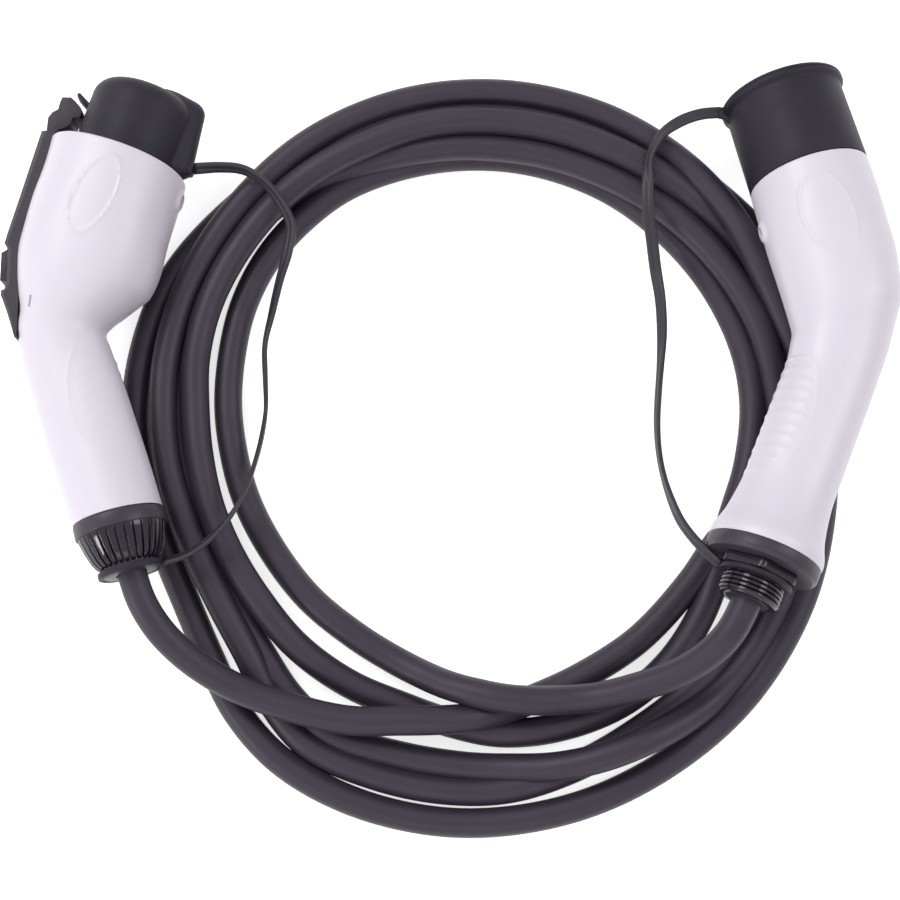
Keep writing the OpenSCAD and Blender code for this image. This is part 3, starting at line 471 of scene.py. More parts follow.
rows_1 = housing_rows(T1_FRONT_LEN, T1_HALF, T1_T, (
    (0, 0, 0, 0, 2.1), (0.24, 1.4, 0.8, -0.2, 2.2), (0.5, 1.6, 1.4, -0.7, 2.3),
    (0.75, 2.6, 2.9, -1.6, 2.3), (0.93, 3.8, 1.9, -3, 2.3)
), GRIP_1, (
    (-30.3, 13.9, 25.3, 19.4, 26.4, 2.3), (-26.8, 5.4, 20.7, 12.1, 24, 2.3),
    (-23.6, -2.1, 17.6, 7.1, 21.8, 2.2), (-21.3, -11.6, 16.1, 1.4, 20, 2.2)
), T1_GRIP_HALF, (
    (77, -4.6, -5.5, 18.8, 2.2), (57, -3.6, -3.5, 18.6, 2.2), (37.72, -3, -2.1, 18.8, 2.1),
    (20.24, -1.6, -0.9, 19.4), (0, 0, 0, T1_GRIP_HALF)
))
rows_2 = housing_rows(T2_FRONT_LEN, T2_HALF, T2_HALF, (
    (0, 0, 0, 0, 2), (0.27, -0.5, -0.2, -0.3, 2.1), (0.55, -0.8, -1, -1, 2.2),
    (0.82, -0.8, -1.8, -2, 2.2)
), GRIP_2, (
    (-20, 17.6, 31, 13.6, 24.4, 2.2), (-20.6, 10.8, 26.8, 5.4, 22.8, 2.2),
    (-22.7, 6.1, 21.7, -3.1, 21, 2.2), (-26.4, -1, 15.9, -12.4, 19.4, 2.2)
), T2_GRIP_HALF, (
    (85, 0, 0, 18.4, 2.2), (64, 0, 0, 18.4, 2.2), (44.52, 0, 0, 18.4, 2.2),
    (28.62, -0.2, 0.2, 19.2, 2.1), (13.78, -2.2, 2.2, 22.2), (4.24, -5.1, 5.1, COLLAR_R),
    (0, -5.1, 5.1, COLLAR_R)
))

RIDGE_HALF = 1.2
RIB_H, RIB_HALF, RIB_PITCH, RIB_FADE, ARC_FADE = 0.34, 1.19, 5.5, 0.6, 6
BOSS_SIDE, BOSS_R, SCREW_1_Y, SCREW_2_Y = 20, 4.4, -9.7, -21


def ridge(distance, half_width):
    """A soft rounded ridge: 1 on its line and 0 at its half width."""
    if abs(distance) >= half_width:
        return 0
    return 0.5 + 0.5 * cos(pi * distance / half_width)


def face_oval(p, middle, half_long, half_wide, tilt, height):
    """A raised oval line on the face."""
    if p.z <= 0:
        return 0
    u, v = turned(p.x - middle[0], p.y - middle[1], -tilt)
    share = hypot(u / half_wide, v / half_long)
    outside = (share - 1) * hypot(u, v) / max(share, 0.05)
    return height * ridge(outside, RIDGE_HALF)


def grip_ribs(x, y, start, stop, outer, inner, bow):
    """The grip's ladder of ribs, from an outer edge to an arc."""
    if not start - 2 < y < stop + 2:
        return 0
    number = min(max(round((y - start) / RIB_PITCH), 0), int((stop - start) / RIB_PITCH))
    rib_y = start + number * RIB_PITCH
    middle = (start + stop) / 2
    edge = inner + bow * ((rib_y - middle) / (stop - middle)) ** 2
    low, high = min(outer, edge), max(outer, edge)
    along = (step_up(x, low - RIB_FADE, low + RIB_FADE)
             * (1 - step_up(x, high - RIB_FADE, high + RIB_FADE)))
    return RIB_H * along * ridge(y - rib_y, RIB_HALF)


def grip_arc(x, y, low, high, side, bow, middle, height):
    """A long curved line beside the ribs, fading out at both ends."""
    ends = step_up(y, low, low + ARC_FADE) * (1 - step_up(y, high - ARC_FADE, high))
    return height * ends * ridge(x + side + bow * (y - middle) ** 2, RIDGE_HALF)


def grip_relief(p, grip, ribs, arc):
    """Ribs and arc at a point, in the frame of the grip's cable end."""
    bend, grip_len, angle = grip
    ex, ey = turned(0, -grip_len, angle)
    x, y = turned(p.x - bend[0] - ex, p.y - bend[1] - ey, -angle)
    return grip_ribs(x, y, *ribs) + grip_arc(x, y, *arc)


def boss(p, side, place, height):
    """A round boss on the belly side, with soft shoulders."""
    if p.x * side <= BOSS_SIDE:
        return 0
    return height * (1 - step_up(hypot(p.y - place, p.z), BOSS_R - 1, BOSS_R + 1.6))


# Oval: (middle, half length, half width, tilt, height). Ribs: (first, last, outer edge,
# edge at the arc, how far that bows). Arc: (start, stop, side, bow, its middle, height).
# Boss: (side, place, height)
RELIEF_1 = (((2.8, -26.4), 19.6, 8.8, 8, 0.5), (36.8, 72.68, 16, -2, 7),
            (30, 82, 6.6, -0.011, 50, 0.2), (1, SCREW_1_Y, 1.5))
RELIEF_2 = (((-4.3, -28.7), 20.5, 11.2, -3, 0.42), (31.8, 86.92, -30, -5, -8),
            (34, 94, 2.2, 0.0095, 58, 0.18), (-1, SCREW_2_Y, 1.4))


def relief_at(p, front_len, grip, oval, ribs, arc, boss_place):
    """How far the surface stands out at a point."""
    on_grip = grip_relief(p, grip, ribs, arc) if p.y < -front_len else 0
    return face_oval(p, *oval) + on_grip + boss(p, *boss_place)


def narrowed(row, extra):
    left, right = Vector(row[0:2]), Vector(row[2:4])
    left += (right - left).normalized() * extra
    return (left.x, left.y, *row[2:])


def facing_out(bm):
    if bm.calc_volume(signed=True) < 0:
        bmesh.ops.reverse_faces(bm, faces=bm.faces)


def solid_of(parts):
    """One mesh of several closed parts, each with its faces turned outwards."""
    bm = bmesh.new()
    for vertices, faces in parts:
        one = bmesh.new()
        made = [one.verts.new(v) for v in vertices]
        for face in faces:
            one.faces.new([made[i] for i in face])
        bmesh.ops.recalc_face_normals(one, faces=one.faces)
        facing_out(one)
        mesh = bpy.data.meshes.new("part")
        one.to_mesh(mesh)
        one.free()
        bm.from_mesh(mesh)
        bpy.data.meshes.remove(mesh)
    return bm


def to_object(bm, name, material, place=Matrix(), smooth=True):
    """Finishes a mesh: facing outwards, in metres at its place, as an object."""
    facing_out(bm)
    bm.transform(place)
    mesh = bpy.data.meshes.new(name)
    bm.to_mesh(mesh)
    bm.free()
    return new_piece(name, mesh, material, smooth)


def evaluated(piece):
    """Turns a piece with modifiers into a plain mesh."""
    graph = bpy.context.evaluated_depsgraph_get()
    mesh = bpy.data.meshes.new_from_object(piece.evaluated_get(graph))
    mesh.name = piece.name
    piece.modifiers.clear()
    piece.data = mesh
    return piece


def cut_away(piece, cutters, place):
    """Cuts closed shapes, given as rings in millimetres, out of a piece."""
    tool = to_object(solid_of([rings_to_mesh(rings) for rings in cutters]), "cutter",
                     shell_plastic, place, smooth=False)
    cut = piece.modifiers.new("cut", "BOOLEAN")
    cut.object = tool
    cut.solver = "EXACT"
    evaluated(piece)
    bpy.data.objects.remove(tool)


def slab(outline, half):
    """Rings of an (x, y) outline, from one side of the middle plane to the other."""
    return [[Vector((x, y, z)) for x, y in outline] for z in (-half, half)]


def screw_hole(y, start, stop):
    return [[Vector((x, y + SCREW_HOLE_R * cos(angle), SCREW_HOLE_R * sin(angle)))
             for angle in round_angles(32)] for x in (start, stop)]


def shell(name, node, rows, cavity, seat_r, front_len, grip, relief, place, cutters):
    rings = []
    for angle in (radians(22.5 * quarter) for quarter in range(5)):
        lip = list(rows[0])
        lip[1] = lip[3] = rows[0][1] - RIM_ROUND * (1 - cos(angle))
        rings.append(section(lip, RIM_ROUND * (1 - sin(angle))))
    for row in smooth_rows(rows, SHELL_STEPS):
        if max(row[1], row[3]) > -RIM_ROUND - 0.2:
            continue
        middle = Vector(((row[0] + row[2]) / 2, (row[1] + row[3]) / 2, 0))
        ring = section(row)
        for point in ring:
            point += (point - middle).normalized() * relief_at(point, front_len, grip, *relief)
        rings.append(ring)
    inside = [grip_row(grip, h, -NECK_R, NECK_R, NECK_R) for h in (0, END_WALL)]
    seat = [round_row(-SEAT_DEPTH, seat_r - SEAT_SHOULDER), round_row(-SEAT_DEPTH, seat_r),
            round_row(0, seat_r)]
    rings.extend(section(row) for row in inside)
    rings.extend(section(row, WALL) for row in reversed(smooth_rows(cavity, CAVITY_STEPS)))
    rings.extend(section(row) for row in seat)
    bm = bmesh.new()
    made = [[bm.verts.new(point) for point in ring] for ring in rings]
    for first, second in zip(made, made[1:] + made[:1]):
        for i in range(SHELL_SIDES):
            j = (i + 1) % SHELL_SIDES
            bm.faces.new((first[i], first[j], second[j], second[i]))
    piece = to_object(bm, name, shell_plastic, place)
    cut_away(piece, cutters, place)
    piece.data.shade_smooth()
    piece.data.set_sharp_from_angle(angle=radians(40))
    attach(piece, "cable_set")
    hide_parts(node)


# The seat is the flat that the latch's cover strip lies on, down the spine's side
LATCH_ROOM, COVER_W, SCREW_HOLE_R = 5, 23, 3
SEAT_X, FAR_OUT, HOLE_IN, HOLE_OUT = 4.2 - T1_HALF, -60, 1.2, 12
seat_line = [(SEAT_X, 2), (SEAT_X + 0.6, -50), (-25, -61), (-21.4, -71), (-19, -77),
             (-16.9, -84), (-14.9, -90), (-12.9, -96.4)]
seat_cut = slab([*seat_line, (FAR_OUT, seat_line[-1][1]), (FAR_OUT, seat_line[0][1])],
                COVER_W / 2)
# A small slit beside the cover strip, cut down from the face
SLIT_TOP, SLIT_FOOT, SLIT_HALF = (-11.2, -76.9, 17.9), (-10.6, -81.8, 16.5), 0.6
slit_cut = [[Vector((x + side, y, z + lift)) for (x, y, z), side in (
    (SLIT_TOP, SLIT_HALF), (SLIT_TOP, -SLIT_HALF), (SLIT_FOOT, -SLIT_HALF),
    (SLIT_FOOT, SLIT_HALF))] for lift in (0, 12)]
cavity_1 = [*[narrowed(row, LATCH_ROOM) for row in rows_1[1:-2]], rows_1[-2],
            grip_row(GRIP_1, END_WALL, -T1_GRIP_HALF, T1_GRIP_HALF, T1_GRIP_HALF)]
cavity_2 = [*rows_2[1:-2], grip_row(GRIP_2, END_WALL, -COLLAR_R, COLLAR_R, COLLAR_R)]
shell("shell_type1", "type1_shell", rows_1, cavity_1, SEAT_R_1, T1_FRONT_LEN, GRIP_1,
      RELIEF_1, TYPE_1,
      [seat_cut, slit_cut, screw_hole(SCREW_1_Y, T1_HALF - HOLE_IN, T1_HALF + HOLE_OUT)])
shell("shell_type2", "type2_shell", rows_2, cavity_2, SEAT_R_2, T2_FRONT_LEN, GRIP_2,
      RELIEF_2, TYPE_2, [screw_hole(SCREW_2_Y, -T2_HALF - HOLE_OUT, HOLE_IN - T2_HALF)])

# Cap of the Type 1 connector: one soft rubber moulding pushed over the barrel. A lobe on
# the belly side stands over the strap's root, with a crease on each side of it, and a
# small tab lets a finger pull the cap off
CAP_SIDES, RIM_Y, RIM_STEP = 200, 0.2, 0.55
CAP_1_X, CAP_1_R, CAP_1_LEN, CAP_1_ROUND = 2.3, 24.5, 36, 9
LOBE_LEN, LOBE_ROUND, LOBE_ROOT_X, LOBE_ROOT_R = 38.6, 5.5, 13.5, 12.4
LOBE_X, LOBE_R = 27, 6.6
# The lobe's tip leans in above a height, and comes in faster below its foot
LEAN, LEAN_FROM, FOOT_LEAN, LOBE_FOOT = 0.115, 7.5, 1.3, 4.2
CREASE = 1
CAP_1_BORE, CAP_1_DEPTH, BORE_CHAMFER = 22.05, 33.65, 1.25
RAY_START, RAY_REACH, RAY_HALVINGS = 19, 60, 20

cap_rubber = finish("cap_rubber", (0.016, 0.013, 0.022), (0.0245, 0.0193, 0.031),
                    (30, 4, 0.6), (0.44, 0.18, 160, 4, 0.6), (1900, 0.00004),
                    Specular_IOR_Level=0.26)


def rounded_block(across, along, rounding):
    """Distance to a block's rounded edge, from two distances to its sides."""
    p, q = across + rounding, along + rounding
    return hypot(max(p, 0), max(q, 0)) + min(max(p, q), 0) - rounding


def egg(x, z, root_x, root_r, tip_x, tip_r):
    """Distance to an egg drawn round two circles, a large one and a small one."""
    length = tip_x - root_x
    slope = (root_r - tip_r) / length
    rise = sqrt(1 - slope * slope)
    side, along = abs(z), x - root_x
    where = rise * along - slope * side
    if where < 0:
        return hypot(along, side) - root_r
    if where > rise * length:
        return hypot(along - length, side) - tip_r
    return rise * side + slope * along - root_r


def joined(a, b, blend):
    """The union of two distances, with a soft valley between them."""
    overlap = max(blend - abs(a - b), 0) / blend
    return min(a, b) - overlap * overlap * blend / 4


def cap_1_form(x, y, z):
    """Distance to the cap's outside: a rounded cup and the lobe beside it."""
    cup = rounded_block(hypot(x - CAP_1_X, z) - CAP_1_R, y - CAP_1_LEN, CAP_1_ROUND)
    tip = LOBE_X - LEAN * (y - LEAN_FROM) - FOOT_LEAN * max(0, LOBE_FOOT - y)
    lobe = rounded_block(egg(x, z, LOBE_ROOT_X, LOBE_ROOT_R, tip, LOBE_R),
                         y - LOBE_LEN, LOBE_ROUND)
    return joined(cup, lobe, CREASE)


def skin_point(form, start, ray):
    """Where a ray from inside a form leaves it."""
    near, far = 0, RAY_REACH
    for _ in range(RAY_HALVINGS):
        middle = (near + far) / 2
        if form(*(start + ray * middle)) < 0:
            near = middle
        else:
            far = middle
    return start + ray * near


def domed(form, middle_x, heights, tilts):
    """Rings of a closed-end form: square rays up its side, then tilting over its end."""
    rings = []
    for height, tilt in [(y, 0) for y in heights] + [(heights[-1], t) for t in tilts]:
        lean, start = radians(tilt), Vector((middle_x, height, 0))
        rings.append([skin_point(form, start, Vector((
            cos(angle) * cos(lean), sin(lean), sin(angle) * cos(lean)
        ))) for angle in round_angles(CAP_SIDES)])
    return rings


def spread(start, stop, count):
    return [start + (stop - start) * i / count for i in range(count + 1)]


def level_ring(radius, y, sides=CAP_SIDES, x=0):
    """A ring round the +Y axis, whose radius may vary by angle."""
    ring = []
    for angle in round_angles(sides):
        r = radius(angle) if callable(radius) else radius
        ring.append(Vector((x + r * cos(angle), y, r * sin(angle))))
    return ring


def cup_solid(outer, middle_x, bore, depth):
    """A closed cup: a bore with a chamfered floor, then outer rings from rim to end."""
    lip = [p + (Vector((middle_x, p.y, 0)) - p).normalized() * RIM_STEP for p in outer[0]]
    inner = [level_ring(r, y, x=middle_x) for r, y in (
        (bore - BORE_CHAMFER, depth), (bore, depth - BORE_CHAMFER), (bore, RIM_Y))]
    vertices, faces = rings_to_mesh([*inner, lip, *outer], closed_ends=False)
    for ring_start, centre in ((0, Vector((middle_x, depth, 0))),
                               (len(vertices) - CAP_SIDES,
                                sum(outer[-1], Vector()) / CAP_SIDES)):
        vertices.append(centre)
        faces.extend((ring_start + i, ring_start + (i + 1) % CAP_SIDES, len(vertices) - 1)
                     for i in range(CAP_SIDES))
    return vertices, faces


def soft_bar(stations, sides=24, power=3):
    """A bar through (middle, across, up, half width, half height) stations, ends rounded."""
    return rings_to_mesh([
        [Vector(middle) + Vector(across) * half_w * bulge(cos(angle), power)
         + Vector(up) * half_h * bulge(sin(angle), power) for angle in round_angles(sides)]
        for middle, across, up, half_w, half_h in stations])


def cap(name, node, parts, place):
    piece = to_object(solid_of(parts), name, cap_rubber, place)
    piece.data.set_sharp_from_angle(angle=radians(50))
    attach(piece, "cable_set")
    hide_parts(node)


Y, Z = (0, 1, 0), (0, 0, 1)
# Rays tilt fast over the side, finely over the rounded edge and fast again to the middle
SIDE_TILTS = [2.5 * i for i in range(1, 9)]
EDGE_TILTS = [21 + 1.3 * i for i in range(28)]
END_TILTS = [60, 64, 69, 74, 79, 84, 87.5]
cap_1_rings = domed(cap_1_form, CAP_1_X, spread(RIM_Y, RAY_START, 16),
                    SIDE_TILTS + EDGE_TILTS + END_TILTS)
# The tab: (how far out, half thickness, half width) from its foot on the cap's corner
TAB_FOOT, TAB_BEARING = Vector((-19.5, 19.7, 0)), radians(149)
TAB = (0, 1.3, 6.4), (9.6, 1.25, 6.2), (9.95, 1.1, 6), (10.1, 0.8, 5.7)
tab_way = Vector((cos(TAB_BEARING), sin(TAB_BEARING), 0))
tab = soft_bar([(TAB_FOOT + tab_way * far, Vector((-tab_way.y, tab_way.x, 0)), Z, half, wide)
                for far, half, wide in TAB])
# The block that the strap grows from: (x, half height, half width) out of the lobe
ROOT_BLOCK_Y = 6.6
ROOT_BLOCK = (29, 3.4, 4.2), (33.4, 3.2, 4), (34.1, 2.9, 3.7), (34.3, 2.2, 3)
root_block = soft_bar([((x, ROOT_BLOCK_Y, 0), Y, Z, half, wide)
                       for x, half, wide in ROOT_BLOCK])
cap("cap_type1", "type1_cap", [cup_solid(cap_1_rings, CAP_1_X, CAP_1_BORE, CAP_1_DEPTH), tab,
                               root_block], TYPE_1)

# Cap of the Type 2 connector: a plain rubber cup with a wider lip at its closed end. The
# strap's root flares out of the lip as a flat web
CAP_2_R, CAP_2_DRAFT, CAP_2_LEN = 27.85, 0.012, 44.8
LIP_LEN, LIP_ROUND, LIP_LINE = 4.2, 1.9, 0.22
CAP_2_BORE, CAP_2_DEPTH = 26.1, 40.3


def cap_2_rings():
    """The turned outside from rim to end: a drafted side, a cove, and the lip with a
    fine line round it and a shallow dish in its face."""
    neck, line_y = CAP_2_LEN - LIP_LEN, CAP_2_LEN - LIP_ROUND
    foot_r = CAP_2_R - CAP_2_DRAFT * neck
    profile = [(CAP_2_R - 0.5, RIM_Y), (CAP_2_R - 0.12, 0.32), (CAP_2_R, 0.7)]
    profile += [(CAP_2_R - CAP_2_DRAFT * y, y) for y in spread(6, neck - 2, 6)]
    profile += [(foot_r + (CAP_LIP_R - 0.35 - foot_r) * step_up(y, neck - 1.7, neck + 0.1), y)
                for y in spread(neck - 1.6, neck, 6)]
    profile += [(CAP_LIP_R - 0.1, neck + 0.25), (CAP_LIP_R, neck + 0.6),
                (CAP_LIP_R, line_y - 0.5), (CAP_LIP_R - LIP_LINE, line_y - 0.35),
                (CAP_LIP_R - LIP_LINE, line_y - 0.15)]
    profile += [(CAP_LIP_R - LIP_ROUND * (1 - cos(angle)),
                 CAP_2_LEN - LIP_ROUND * (1 - sin(angle)))
                for angle in (radians(15 * k) for k in range(7))]
    profile += [(r, CAP_2_LEN - drop) for r, drop in (
        (25, 0), (23.6, 0.05), (23, 0.5), (22, 0.6), (12, 0.5), (3, 0.45))]
    return [level_ring(r, y) for r, y in profile]


# (distance out, top, half height, half width) from inside the lip to the strap
WEB = [
    (25.5, 44, 4.8, 1.5), (27.6, 44.7, 4.4, 1.5), (28.5, 45, 3.9, 1.45),
    (29.2, 45.2, 3.5, 1.35), (29.9, 45.4, 3.2, 1.25), (30.7, 45.55, 2.98, 1.15),
    (31.6, 45.65, 2.87, 1.05)
]
web = soft_bar([((-x, top - half, 0), Y, Z, half, wide) for x, top, half, wide in WEB],
               sides=32, power=3.4)
cap("cap_type2", "type2_cap", [cup_solid(cap_2_rings(), 0, CAP_2_BORE, CAP_2_DEPTH), web],
    TYPE_2)

# Latch: a stiff black cover strip along the spine, and the lever under it with its hook
# over the barrel and its thumb pad at the back. Both are glass-filled nylon with a fine
# spark-eroded grain and softly rounded edges
latch_nylon = finish("latch_nylon", (0.028, 0.022, 0.030), (0.041, 0.034, 0.044),
                     (55, 4, 0.6), (0.42, 0.2, 240, 4, 0.6), (2200, 0.00006),
                     Specular_IOR_Level=0.38)


def rounded_edges(piece, width, node, body):
    """Rounds a piece's sharp edges and lets it stand for its solid."""
    rounding = piece.modifiers.new("rounding", "BEVEL")
    rounding.width = width / 1000
    rounding.segments = 3
    rounding.limit_method = "ANGLE"
    rounding.angle_limit = radians(28)
    rounding.harden_normals = True
    evaluated(piece)
    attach(piece, body)
    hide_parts(node)


# (along the strip, outer face, chamfer) down to the pointed tail
COVER_STATIONS = [
    (1.3, -36.9, 2.6), (-30, -35.5, 2.4), (-50, -34.7, 2.2), (-55.1, -34.4, 2.2),
    (-57, -32.2, 2), (-66, -28.9, 2), (-72, -27.2, 2), (-75.6, -26.8, 2),
    (-76.6, -28, 2), (-78.6, -27.5, 2), (-82, -24.7, 1.9), (-86, -21.5, 1.7),
    (-90, -18.5, 1.3), (-95.8, -14.3, 0.4)
]
COVER_HALF = COVER_W / 2 - 0.05
LEVER_W, LEVER_PLAY, PAD_BACK, WINDOW_FOOT = 14, 0.6, -57, -76.2
WINDOW_TOP = PAD_BACK + 2
# The room that the lever swings in, ending in the window for its thumb pad
LEVER_ROOM = [
    (-10, 10), (-36.2, 10), (-36.2, 1), (-34.8, -30), (-33.8, -46), (-33.5, WINDOW_TOP),
    (FAR_OUT, WINDOW_TOP), (FAR_OUT, WINDOW_FOOT), (-22, WINDOW_FOOT), (-10, -60)
]
COVER_EDGE, LEVER_EDGE = 0.55, 0.7


def seat_at(y):
    """The seat's line in the shell at a height along the connector."""
    for (x0, y0), (x1, y1) in zip(seat_line, seat_line[1:]):
        if y >= y1:
            return x0 + (x1 - x0) * (y - y0) / (y1 - y0)
    return seat_line[-1][0]


cover_rings = [
    [Vector((x, y, z)) for x, z in (
        (seat_at(y), -COVER_HALF), (seat_at(y), COVER_HALF), (out + cut, COVER_HALF),
        (out, COVER_HALF - cut), (out, cut - COVER_HALF), (out + cut, -COVER_HALF))]
    for y, out, cut in COVER_STATIONS
]
cover = to_object(solid_of([rings_to_mesh(cover_rings)]), "cover_strip", latch_nylon, TYPE_1)
cut_away(cover, [slab(LEVER_ROOM, LEVER_W / 2 + LEVER_PLAY)], TYPE_1)
rounded_edges(cover, COVER_EDGE, "latch_cover", "cable_set")

# The lever is the solid's own shape, merged, with its thumb pad lowered into the window:
# its outer face by more than its shoulder
PAD_SHOULDER_X, PAD_FACE_X, SHOULDER_DROP, FACE_DROP = -32, -35, 1.6, 2.3
lever_mesh = bmesh.new()
lever_mesh.from_mesh(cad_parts["latch_lever"].data)
bmesh.ops.remove_doubles(lever_mesh, verts=lever_mesh.verts, dist=1e-6)
bmesh.ops.dissolve_limit(lever_mesh, angle_limit=radians(1), verts=lever_mesh.verts,
                         edges=lever_mesh.edges)
for vertex in lever_mesh.verts:
    spot = TYPE_1.inverted() @ vertex.co
    if spot.y < PAD_BACK and spot.x < PAD_SHOULDER_X:
        spot.x += FACE_DROP if spot.x < PAD_FACE_X else SHOULDER_DROP
        vertex.co = TYPE_1 @ spot
rounded_edges(to_object(lever_mesh, "lever", latch_nylon), LEVER_EDGE, "latch_lever", "latch")

# Dome nut of the Type 1 end: it squeezes a seal round the cable. A smooth satin rim turns
# into thirty ribs of glossy black nylon down its taper
NUT_R, NUT_RIM, RIB_COUNT, RIB_DEEP = 20.6, 7, 30, 1.7
CABLE_WAY_R, SEAL_POCKET_R, SLEEVE_ROOM_R = 7, 9.8, 12.9
SLEEVE_ROOM_END, SEAL_POCKET_END = -14.2, -18.6
TURNED_SIDES = 144

gloss_nylon = finish("gloss_nylon", (0.014, 0.0085, 0.018), (0.022, 0.0145, 0.027),
                     (80, 3, 0.5), (0.08, 0.11, 150, 4, 0.6), (700, 0.00002),
                     Specular_IOR_Level=0.4)
satin_nylon = finish("satin_nylon", (0.036, 0.028, 0.041), (0.052, 0.042, 0.058),
                     (60, 3, 0.5), (0.32, 0.16, 260, 4, 0.6), (1500, 0.00003),
                     Specular_IOR_Level=0.36)


def turned_piece(name, node, profile, material, place):
    """A closed solid turned round a bore from (radius, height) pairs."""
    rings = [level_ring(radius, height, TURNED_SIDES) for radius, height in profile]
    bm = solid_of([rings_to_mesh([*rings, rings[0]], closed_ends=False)])
    bmesh.ops.remove_doubles(bm, verts=bm.verts, dist=1e-4)
    bmesh.ops.recalc_face_normals(bm, faces=bm.faces)
    piece = to_object(bm, name, material, place)
    piece.data.set_sharp_from_angle(angle=radians(32))
    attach(piece, "cable_set")
    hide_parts(node)


NUT_TAPER = [(12.8, -23.3), (14.6, -21.5), (16.4, -18.4), (18, -14), (19.4, -9), (20.2, -7)]
nut_core = [(r - RIB_DEEP, y) for r, y in NUT_TAPER[1:]]
turned_piece(
    "nut_body", "dome_nut",
    [(CABLE_WAY_R, -NUT_LEN), (LIP_R - 0.9, -NUT_LEN), (LIP_R - 0.2, -NUT_LEN + 0.3),
     (LIP_R, -NUT_LEN + 0.9), (LIP_R, -23.4), *nut_core, (NUT_R - 0.5, -NUT_RIM),
     (NUT_R - 0.12, -NUT_RIM + 0.15), (NUT_R, -NUT_RIM + 0.5), (NUT_R, -1.3),
     (NUT_R - 0.2, -0.6), (NUT_R - 0.8, -0.05), (SLEEVE_ROOM_R, -0.05),
     (SLEEVE_ROOM_R, SLEEVE_ROOM_END), (SEAL_POCKET_R, SLEEVE_ROOM_END),
     (SEAL_POCKET_R, SEAL_POCKET_END), (CABLE_WAY_R, SEAL_POCKET_END)],
    satin_nylon, END_1)

RIB_STEPS, RIB_PAST, RIB_ROOT = 16, 0.4, 0.7
# How much of its pitch a rib takes up, at the lip and at the rim
RIB_SHARE_LIP, RIB_SHARE_RIM = 0.6, 0.92


def taper_r(y):
    """The nut's radius over its ribs at a height."""
    for (r0, y0), (r1, y1) in zip(NUT_TAPER, NUT_TAPER[1:]):
        if y <= y1 or (r1, y1) == NUT_TAPER[-1]:
            return r0 + (r1 - r0) * (y - y0) / (y1 - y0)


def rib_bar():
    """One rib down the taper, with a flat bright face and rounded shoulders."""
    stations = []
    for i, y in enumerate(spread(NUT_TAPER[0][1] - RIB_PAST, NUT_TAPER[-1][1], RIB_STEPS)):
        r = taper_r(y)
        share = RIB_SHARE_LIP + (RIB_SHARE_RIM - RIB_SHARE_LIP) * i / RIB_STEPS
        full = min(1, 0.35 + i * 0.3, 0.35 + (RIB_STEPS - i) * 0.4)
        low, high = r - RIB_DEEP - RIB_ROOT, r - (1 - full) * 0.8
        stations.append((((low + high) / 2, y, 0), Z, (1, 0, 0),
                         pi * r / RIB_COUNT * share, (high - low) / 2))
    return soft_bar(stations, sides=28, power=8)


def ring_of(piece, count, material):
    """Repeats a mesh evenly round the +Y axis with a small geometry tree."""
    tree = bpy.data.node_groups.new("ring_of_ribs", "GeometryNodeTree")
    inputs = [tree.interface.new_socket(name, in_out="INPUT", socket_type="NodeSocket" + kind)
              for name, kind in (("Rib", "Geometry"), ("Copies", "Int"), ("Step", "Float"))]
    tree.interface.new_socket("Ring", in_out="OUTPUT", socket_type="NodeSocketGeometry")
    given = tree.nodes.new("NodeGroupInput")
    rib, copies, step = (Socket(tree, given.outputs[i]) for i in range(3))
    points = add_node(tree, "GeometryNodePoints", {}, {"Count": copies})
    turn = add_node(tree, "GeometryNodeInputIndex") * step
    turns = add_node(tree, "ShaderNodeCombineXYZ", {}, {"Y": turn})
    ring = add_node(tree, "GeometryNodeInstanceOnPoints", {},
                    {"Points": points, "Instance": rib, "Rotation": turns})
    ring = add_node(tree, "GeometryNodeRealizeInstances", {}, {0: ring})
    ring = add_node(tree, "GeometryNodeSetMaterial", {},
                    {"Geometry": ring, "Material": material})
    tree.links.new(ring.socket, tree.nodes.new("NodeGroupOutput").inputs[0])
    maker = piece.modifiers.new("ring", "NODES")
    maker.node_group = tree
    maker[inputs[1].identifier] = count
    maker[inputs[2].identifier] = 2 * pi / count
    return evaluated(piece)


nut_ribs = ring_of(to_object(solid_of([rib_bar()]), "nut_ribs", gloss_nylon), RIB_COUNT,
                   gloss_nylon)
nut_ribs.data.transform(END_1)
nut_ribs.data.shade_smooth()
nut_ribs.data.set_sharp_from_angle(angle=radians(40))
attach(nut_ribs, "cable_set")

# Cable end of the Type 2 connector: a satin collar that closes the shell, and a glossy
# gland body with a hexagon for the spanner and a thread whose nut is left off
HEX_R, HEX_CORNER, GLAND_NECK_R, SLEEVE_IN, POCKET_DEPTH = 18.8, 0.55, NECK_R - 0.15, 8, 4.4
THREAD_LEN, THREAD_PITCH, THREAD_DEEP, THREAD_ROWS = 12, 2, 1.05, 76
TOOTH_TOP, TOOTH_SLOPE = 2.2, 4.6
THREAD_END = HEX_FOOT - THREAD_LEN
turned_piece(
    "collar", "type2_collar",
    [(NECK_R, -COLLAR_LEN), (COLLAR_R - 2.3, -COLLAR_LEN), (COLLAR_R - 1.6, -COLLAR_LEN + 0.1),
     (COLLAR_R - 0.25, -COLLAR_LEN + 1.3), (COLLAR_R, -COLLAR_LEN + 2), (COLLAR_R, -0.5),
     (COLLAR_R - 0.12, -0.15), (COLLAR_R - 0.45, 0), (NECK_R, 0)],
    satin_nylon, END_2)


def hexagon(inset):
    """The hexagon's radius by angle, its corners turned down to a circle."""
    def radius(angle):
        turn = (angle + pi / 6) % (pi / 3) - pi / 6
        flat = HEX_R * cos(pi / 6) / cos(turn)
        return min(flat, HEX_R - HEX_CORNER) - inset
    return radius


